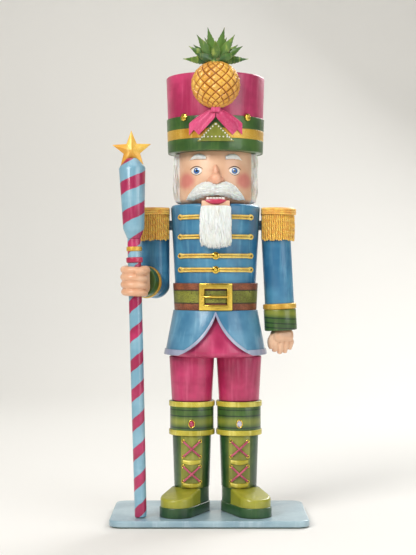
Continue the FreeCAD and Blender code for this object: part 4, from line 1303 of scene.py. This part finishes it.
def beltBuckle():
    # a cast square frame, crowned across its bars, with a prong that rests on its side bar
    plate = begin(bpy.ops.mesh.primitive_grid_add, x_subdivisions=3, y_subdivisions=3, size=1)
    half, high, bar, middle = buckleLook["wide"] / 2, buckleLook["high"] / 2, buckleLook["bar"], buckleLook["z"]
    for vertex in plate.data.vertices:
        x = half if abs(vertex.co.x) > 0.4 else half - bar
        z = high if abs(vertex.co.y) > 0.4 else high - bar
        vertex.co = Vector((math.copysign(x, vertex.co.x), math.copysign(z, vertex.co.y), 0))
    with editing():
        choose(plate, "faces", lambda face: face.calc_center_median().length < 0.001)
        bpy.ops.mesh.delete(type="FACE")
        bpy.ops.mesh.select_all(action="SELECT")
        bpy.ops.mesh.subdivide(number_cuts=7)
    tidyMesh(thicken(plate, 0.0022, 0.0007, 4))
    for vertex in plate.data.vertices:
        x, z, lift = vertex.co.x, vertex.co.y, vertex.co.z
        radius = coatRadius(middle + z) + 0.0027
        vertex.co = onDrum(math.asin(x / radius), radius + lift, middle + z)
    prong = []
    for step in range(13):
        t = step / 12
        radius = coatRadius(middle) + 0.0026 + 0.0014 * t ** 3
        x = -half + bar + 0.0002 + t * (2 * half - bar * 1.55)
        prong.append((onFront(x, radius, middle), 1.0 if t < 0.9 else 0.8))
    ring = []
    side = turnTo(-half + bar * 0.62, 0.0352)
    for step in range(9):
        angle = math.pi * 2 * step / 8
        spot = onDrum(side, 0.03455 + 0.0016 * math.cos(angle), middle + 0.0022 * math.sin(angle))
        ring.append((spot, 0.75))
    parts = [plate, cordFrom("prong", [prong], 0.00105, 3), cordFrom("wrap", [ring], 0.0009, 3)]
    return dress(joined(parts), "beltBuckle", "figure", brassMetal, ("belt_buckle",), 40)


shoulder = {
    "x": 0.0490, "topZ": 0.2504, "boardZ": 0.2444, "board": 0.0164, "flat": 0.0371, "fringe": 0.0215, "arm": 0.0118,
}
flatStart = shoulder["flat"] - shoulder["x"]  # the straight side next to the collar
fringeRows = [
    # how many cords, how far out from the arm, how much shorter
    (40, 0.00215, 0.0), (34, 0.00095, 0.0012),
]


def trimFlat(obj, x, side):
    # cuts off what lies on the collar's side of x
    pick(obj)
    with editing(True):
        bpy.ops.mesh.bisect(plane_co=(x, 0, 0), plane_no=(-side, 0, 0), clear_outer=True, use_fill=True)


def epauletteBoard(side, body, node, name):
    # a padded board with laid cords round its edge and rows of cord across its top
    board = begin(
        bpy.ops.mesh.primitive_cylinder_add, vertices=72, radius=shoulder["board"] - 0.0010, depth=0.0046,
        end_fill_type="NGON",
    )
    with editing():
        terrace(board, ((0.0008, 0.0006), (0.0012, 0.0004), (0.0010, -0.0004), (0.0030, 0.0002)))
    trimFlat(board, side * flatStart, side)
    middle = Vector((bodyX + side * shoulder["x"], 0, shoulder["boardZ"]))
    shift(board, middle + up * 0.0024)
    limit = math.acos(flatStart / (shoulder["board"] - 0.0006))
    rims, rows = [], []
    for level in (0.0008, 0.0024, 0.0040):

        def rim(share, level=level):
            angle = -limit + 2 * limit * share
            out = Vector((side * math.cos(angle), math.sin(angle), 0))
            return middle + up * level + out * (shoulder["board"] - 0.0010), out, up

        rims += twistedCord(rim, 0.00085, 26)
    for row in range(4):

        def track(share, row=row):
            y = (row - 1.5) * 0.0052
            reach = math.sqrt(max(0.0, (shoulder["board"] - 0.0036) ** 2 - y * y))
            x = between(share, flatStart + 0.0012, reach)
            return Vector((bodyX + side * (shoulder["x"] + x), y, shoulder["topZ"] - 0.0012)), up, Vector((0, 1, 0))

        rows += twistedCord(track, 0.0008, 9)
    parts = [board, cordFrom("rim", rims, 0.00050, 1), cordFrom("laid", rows, 0.00050, 1)]
    return dress(joined(parts), name, body, epauletteThread, (node,), 40)


def fringeCords(side, body, node, name):
    # hanging bullion: short coiled tassels in two staggered rows under the board
    runs = []
    centre = Vector((bodyX + side * shoulder["x"], 0, 0))
    for count, away, shorter in fringeRows:
        radius = shoulder["arm"] + away
        limit = math.acos(max(-1, min(1, (flatStart + 0.0007) / radius)))
        for index in range(count):
            angle = -limit + 2 * limit * (index + 0.5) / count
            out = Vector((side * math.cos(angle), math.sin(angle), 0))
            swing = random.uniform(-0.0004, 0.0004)
            length = shoulder["fringe"] - random.uniform(0.0, 0.0012) - shorter

            def hang(share, out=out, radius=radius, swing=swing, length=length):
                across = Vector((-out.y, out.x, 0))
                spot = centre + out * (radius + 0.0004 * math.sin(math.pi * share)) + across * swing * share * share
                spot.z = shoulder["boardZ"] + 0.0004 - length * share
                return spot, out, across

            runs += twistedCord(hang, 0.00082, 6.5, 2)
    cords = cordFrom("fringe", runs, 0.00056, 0)
    lining = settle(begin(
        bpy.ops.mesh.primitive_cylinder_add, vertices=72, radius=shoulder["arm"] + 0.0013, depth=0.0195,
        location=centre + up * (shoulder["boardZ"] - 0.0098),
    ))
    trimFlat(lining, bodyX + side * shoulder["flat"], side)
    return dress(joined([cords, lining]), name, body, fringeThread, (node,), 60)


braids()
coatButtons()
beltBuckle()
for build, part in ((epauletteBoard, "epaulette"), (fringeCords, "fringe")):
    for side, word in ((1, "left"), (-1, "right")):
        build(side, word + "_arm", word + "_" + part, word + part.capitalize())
print("coat trimmed")


# hands
def digit(points, radius):
    # a finger as a tapering rounded tube, drawn smoothly through a few joints
    dense = []
    for index in range(len(points) - 1):
        around = [points[max(0, index - 1)], points[index], points[index + 1], points[min(len(points) - 1, index + 2)]]
        before, here, there, after = [Vector(joint[:3]) for joint in around]
        girth, nextGirth = points[index][3], points[index + 1][3]
        for step in range(6):
            t = step / 6
            spot = (
                2 * here + (there - before) * t + (2 * before - 5 * here + 4 * there - after) * t * t
                + (3 * here - before - 3 * there + after) * t * t * t
            ) * 0.5
            dense.append((spot, girth + (nextGirth - girth) * t))
    dense.append((Vector(points[-1][:3]), points[-1][3]))
    return cordFrom("digit", [dense], radius, 5)


def block(spot, size, rounding, turn=None):
    made = begin(bpy.ops.mesh.primitive_cube_add, size=1)
    with editing():
        bpy.ops.transform.resize(value=size)
        bpy.ops.mesh.bevel(offset=rounding, segments=5)
    return shift(made, spot, turn)


arms = {
    "leftX": 0.0534, "rightX": -0.0434, "wrist": 0.0846, "topZ": 0.236, "elbowZ": 0.189,
    "fist": (-0.0582, -0.032, 0.192),
}
fingerReach = (0.0168, 0.0188, 0.0184, 0.0160)
fingerGirth = (1.0, 1.06, 1.04, 0.94)
thumbs = {
    "hanging": [
        (-0.0060, 0.0006, -0.0036, 1.2), (-0.0092, 0.0000, -0.0074, 1.08), (-0.0096, 0.0000, -0.0112, 0.98),
        (-0.0088, 0.0008, -0.0140, 0.75),
    ],
    "fist": [
        (-0.0060, 0.0064, 0.0066, 1.15), (-0.0008, 0.0092, 0.0078, 1.1), (0.0052, 0.0082, 0.0070, 1.0),
        (0.0086, 0.0048, 0.0056, 0.82),
    ],
}


def hangingHand():
    # shaped with the wrist at the origin and the fingers down: back of the hand forwards, thumb towards the body
    parts = [block((0.0006, 0, -0.0045), (0.0176, 0.0130, 0.0104), 0.0040)]
    for index, long in enumerate(fingerReach):
        x = 0.0006 + (index - 1.5) * 0.0046
        parts.append(digit([
            (x * 0.96, 0.0000, -0.0062, 1.12), (x * 1.02, -0.0012, -0.0100, 1.10), (x, -0.0006, -long + 0.0042, 1.0),
            (x * 0.96, 0.0014, -long + 0.0004, 0.84),
        ], 0.0024))
    parts.append(digit(thumbs["hanging"], 0.0026))
    hand = melted(parts, 0.00036, 2)
    shift(hand, (0, 0, 0), Matrix.Rotation(math.radians(22), 4, "Z"))
    lean = Matrix.Rotation(math.radians(-3.0), 4, "Y")
    shift(hand, (arms["leftX"], 0, arms["topZ"]), lean @ Matrix.Translation((0, 0, -arms["wrist"])))
    return dress(hand, "leftHand", "left_arm", paint["hand"], ("left_hand",), 80)


def staffHand():
    # a fist closed round the staff: fingers wrap across the front, the thumb lies along them
    fist = Vector(arms["fist"])
    along = (fist - Vector((arms["rightX"], 0, arms["elbowZ"]))).normalized()
    axis = Vector((-math.sin(staff["lean"]), 0, math.cos(staff["lean"])))
    away = (along - axis * along.dot(axis)).normalized()
    side = axis.cross(away).normalized()

    def spot(a, b, c):
        return fist + away * a + side * b + axis * c

    turn = Matrix((away, side, axis)).transposed().to_4x4()
    parts = [block(spot(-0.0043, 0, 0), (0.0142, 0.0186, 0.0226), 0.0050, turn)]
    for index, size in enumerate(fingerGirth):
        wrap = []
        for step in range(8):
            angle = math.radians(-108 + step * 30)
            reach = 0.0079 + 0.0002 * math.sin(step)
            c = 0.0088 - index * 0.0058 - 0.0003 * step
            knuckle = spot(math.cos(angle) * reach * 1.02, math.sin(angle) * reach * 1.04, c)
            wrap.append((*knuckle, size * (1.0 if step < 6 else 0.9)))
        parts.append(digit(wrap, 0.0030))
    parts.append(digit([(*spot(a, b, c), size) for a, b, c, size in thumbs["fist"]], 0.0031))
    hand = melted(parts, 0.00042, 4)
    bore = begin(bpy.ops.mesh.primitive_cylinder_add, vertices=64, radius=0.00532, depth=0.06)
    cutAway(hand, shift(bore, fist, Matrix.Rotation(-staff["lean"], 4, "Y")))
    return dress(hand, "rightHand", "right_arm", paint["hand"], ("right_hand",), 80)


hangingHand()
staffHand()
print("hands carved")


# boots: laces, eyelets, lace bars and jewels; and the star on the staff
boot = {"x": 0.019, "lowZ": 0.026, "topZ": 0.068, "low": 0.0142, "top": 0.0156, "wall": 0.0012}
crossings = (0.0375, 0.0575)
barHeights = (0.0475, 0.0290)
jewelSpot = {"y": -0.0176, "z": 0.0776}
dropShape = (0.95, 1.2, 1)


def bootRadius(z):
    share = (z - boot["lowZ"]) / (boot["topZ"] - boot["lowZ"])
    return boot["low"] + share * (boot["top"] - boot["low"]) + boot["wall"]


def onBoot(side, x, z, lift=0.0):
    radius = bootRadius(z) + lift
    angle = turnTo(x, radius)
    return Vector((bodyX + side * boot["x"] + radius * math.sin(angle), -radius * math.cos(angle), z))


def bootLaces():
    runs = []
    for side in (-1, 1):
        for z in crossings:
            for slope in (-1, 1):

                def path(share, side=side, z=z, slope=slope):
                    u = share * 2 - 1
                    x = u * 0.0064
                    lift = 0.0010 + (0.0009 if slope > 0 else 0.0001) * math.cos(u * math.pi / 2) ** 2
                    out = Vector((x / bootRadius(z), -1, 0)).normalized()
                    tangent = Vector((1, 0, slope * 0.85)).normalized()
                    return onBoot(side, x, z + slope * u * 0.0058, lift), out, tangent.cross(out).normalized()

                runs += twistedCord(path, 0.00075, 6.5)
    laces = cordFrom("laces", runs, 0.00048, 1)
    return dress(laces, "bootLaces", "figure", pinkLace, ("boot_laces",), 70)


def eyelets():
    # a small rolled ring at each end of every lace
    first = begin(
        bpy.ops.mesh.primitive_torus_add, major_radius=0.00115, minor_radius=0.00042, major_segments=20,
        minor_segments=8,
    )
    shift(first, (0, 0, 0), ahead)
    places = []
    for side in (-1, 1):
        for z in crossings:
            for x in (-0.0067, 0.0067):
                turn = Matrix.Rotation(turnTo(x, bootRadius(z)), 4, "Z")
                places += [(onBoot(side, x, z + rise, 0.0003), turn) for rise in (-0.0061, 0.0061)]
    return dress(copies(first, places), "laceEyelets", "figure", brassMetal, (), 80)


def laceBars():
    # raised gold bars between the crossings, bowed like a strap
    bars = []
    for side in (-1, 1):
        for z in barHeights:
            bar = begin(bpy.ops.mesh.primitive_grid_add, x_subdivisions=16, y_subdivisions=4, size=1)
            for vertex in bar.data.vertices:
                u, v = vertex.co.x * 2, vertex.co.y * 2
                height = z + v * (0.0019 - 0.0006 * abs(u)) - 0.0009 * (1 - u * u)
                vertex.co = onBoot(side, u * 0.0071, height, 0.0004 + 0.0005 * (1 - v * v))
            bars.append(thicken(bar, 0.0009, 0.00025))
    return dress(tidyMesh(joined(bars)), "laceBars", "figure", limeGold, (), 60)


def cuffJewel(side, finish, name, nodes=()):
    # a faceted drop in a small claw ring
    gem = begin(
        bpy.ops.mesh.primitive_cone_add, vertices=8, radius1=0.0023, radius2=0.0013, depth=0.0011, end_fill_type="NGON"
    )
    with editing():
        choose(gem, "faces", lambda face: face.normal.z < -0.9)
        bpy.ops.mesh.extrude_region_move(TRANSFORM_OT_translate={"value": (0, 0, -0.0008)})
        bpy.ops.mesh.select_all(action="SELECT")
        bpy.ops.mesh.bevel(offset=0.00012, segments=2)
    shape = ahead @ Matrix.Diagonal((*dropShape, 1))
    shift(gem, (bodyX + side * boot["x"], jewelSpot["y"] - 0.0008, jewelSpot["z"]), shape)
    return dress(gem, name, "figure", finish, nodes, 20)


def jewelRings():
    rings = []
    for side in (-1, 1):
        ring = begin(
            bpy.ops.mesh.primitive_torus_add, major_radius=0.0025, minor_radius=0.00045, major_segments=28,
            minor_segments=8,
        )
        with editing():
            bpy.ops.transform.resize(value=dropShape)
        spot = (bodyX + side * boot["x"], jewelSpot["y"] - 0.0002, jewelSpot["z"])
        rings.append(shift(ring, spot, ahead))
    return dress(joined(rings), "jewelRings", "figure", brassMetal, (), 80)


starLook = {"reach": 0.0163, "waist": 0.0068, "wall": 0.0016, "centre": (-0.0607, -0.032, 0.2932), "ridge": 0.0024}


def staffStar():
    # a ridged five-pointed star: every arm falls from a sharp ridge to a narrow bevelled edge
    wall, ridge = starLook["wall"], starLook["ridge"]
    star = begin(bpy.ops.mesh.primitive_circle_add, vertices=10, radius=starLook["reach"], fill_type="NGON")
    for index, vertex in enumerate(star.data.vertices):
        angle = math.radians(90 + 36 * index)
        reach = starLook["waist"] if index % 2 else starLook["reach"] * 0.985
        vertex.co = Vector((reach * math.cos(angle), reach * math.sin(angle), 0))
    with editing(True):
        bpy.ops.mesh.extrude_region_move(TRANSFORM_OT_translate={"value": (0, 0, wall)})
    shift(star, (0, 0, -wall / 2))
    with editing():
        for facing in (1, -1):
            choose(star, "faces", lambda face, facing=facing: face.normal.z * facing > 0.9)
            bpy.ops.mesh.poke(offset=ridge)
        bpy.ops.mesh.select_all(action="SELECT")
        bpy.ops.mesh.normals_make_consistent(inside=False)
    for vertex in star.data.vertices:
        if math.hypot(vertex.co.x, vertex.co.y) < 0.001:
            vertex.co.z = math.copysign(wall / 2 + ridge, vertex.co.z)
    modify(star, "BEVEL", width=0.00035, segments=3, limit_method="ANGLE", angle_limit=math.radians(20))
    shift(star, starLook["centre"], Matrix.Rotation(-staff["lean"], 4, "Y") @ ahead)
    return dress(star, "staffStar", "staff", starGold, ("staff_star",), 20)


bootLaces()
eyelets()
laceBars()
rose = jewelEnamel("roseJewel", (206, 58, 96), (150, 26, 62), (240, 140, 160))
pearl = jewelEnamel("pearlJewel", (226, 220, 224), (176, 172, 196), (250, 244, 240))
cuffJewel(-1, rose, "roseJewel", ("boot_cuff_jewels",))
cuffJewel(1, pearl, "pearlJewel")
jewelRings()
staffStar()
print("boots and star trimmed")


# floor, light and camera
studio = {
    "floor": (9, 6, 1), "lens": 85, "aim": Vector((-0.001, 0, 0.194)), "away": 2.52,
    "world": (0.92, 0.95, 1.0, 1), "glow": 0.85,
}
softboxes = [
    # name, place, size, watts, colour
    ("keyLight", (-0.9, -1.3, 1.15), 0.8, 24, (1.0, 0.975, 0.95)),
    ("fillLight", (1.3, -1.1, 0.6), 1.0, 9, (0.95, 0.975, 1.0)),
    ("rimLight", (0.7, 1.1, 1.0), 0.7, 12, (1.0, 1.0, 1.0)),
    ("topLight", (0, -0.1, 1.6), 1.2, 9, (1.0, 1.0, 1.0)),
]


def layStudio():
    # a floor that sweeps up into a plain backdrop
    floor = begin(bpy.ops.mesh.primitive_plane_add, size=1)
    with editing():
        bpy.ops.transform.resize(value=studio["floor"])
        bpy.ops.transform.translate(value=(0, -2.0, 0))
        choose(floor, "edges", lambda edge: all(vertex.co.y > 0.9 for vertex in edge.verts))
        for step in range(10):
            angle = math.radians(9 * (step + 0.5))
            sweep = (0, 0.1 * math.cos(angle), 0.1 * math.sin(angle))
            bpy.ops.mesh.extrude_region_move(TRANSFORM_OT_translate={"value": sweep})
        bpy.ops.mesh.extrude_region_move(TRANSFORM_OT_translate={"value": (0, 0, 5)})
    smooth(settle(floor), 60)
    floor.name = "floor"
    graph = startMaterial("paleFloor", Roughness=0.75, Specular_IOR_Level=0.25)
    tone = graph.mix(graph.noise(2, 2), tint(238, 236, 231), tint(240, 239, 235))
    floor.data.materials.append(graph.finish(tone))


def setLights():
    for name, spot, size, power, warmth in softboxes:
        data = bpy.data.lights.new(name, "AREA")
        data.shape = "RECTANGLE"
        data.size = data.size_y = size
        data.energy = power
        data.color = warmth
        lamp = bpy.data.objects.new(name, data)
        lamp.location = spot
        lamp.rotation_euler = (Vector((0, 0, 0.2)) - Vector(spot)).to_track_quat("-Z", "Y").to_euler()
        bpy.context.scene.collection.objects.link(lamp)
    world = bpy.data.worlds.new("softRoom")
    world.use_nodes = True
    background = world.node_tree.nodes["Background"]
    background.inputs["Color"].default_value = studio["world"]
    background.inputs["Strength"].default_value = studio["glow"]
    bpy.context.scene.world = world


def setCamera():
    data = bpy.data.cameras.new("camera")
    data.lens = studio["lens"]
    data.sensor_width = data.sensor_height = 36
    data.sensor_fit = "VERTICAL"
    camera = bpy.data.objects.new("camera", data)
    camera.location = studio["aim"] + Vector((0, -studio["away"] * 0.42, 0))
    camera.rotation_euler = (math.radians(90), 0, 0)
    bpy.context.scene.collection.objects.link(camera)
    bpy.context.scene.camera = camera


layStudio()
setLights()
setCamera()
clearSelection()
bpy.context.scene.view_settings.view_transform = "Standard"

print("studio ready")
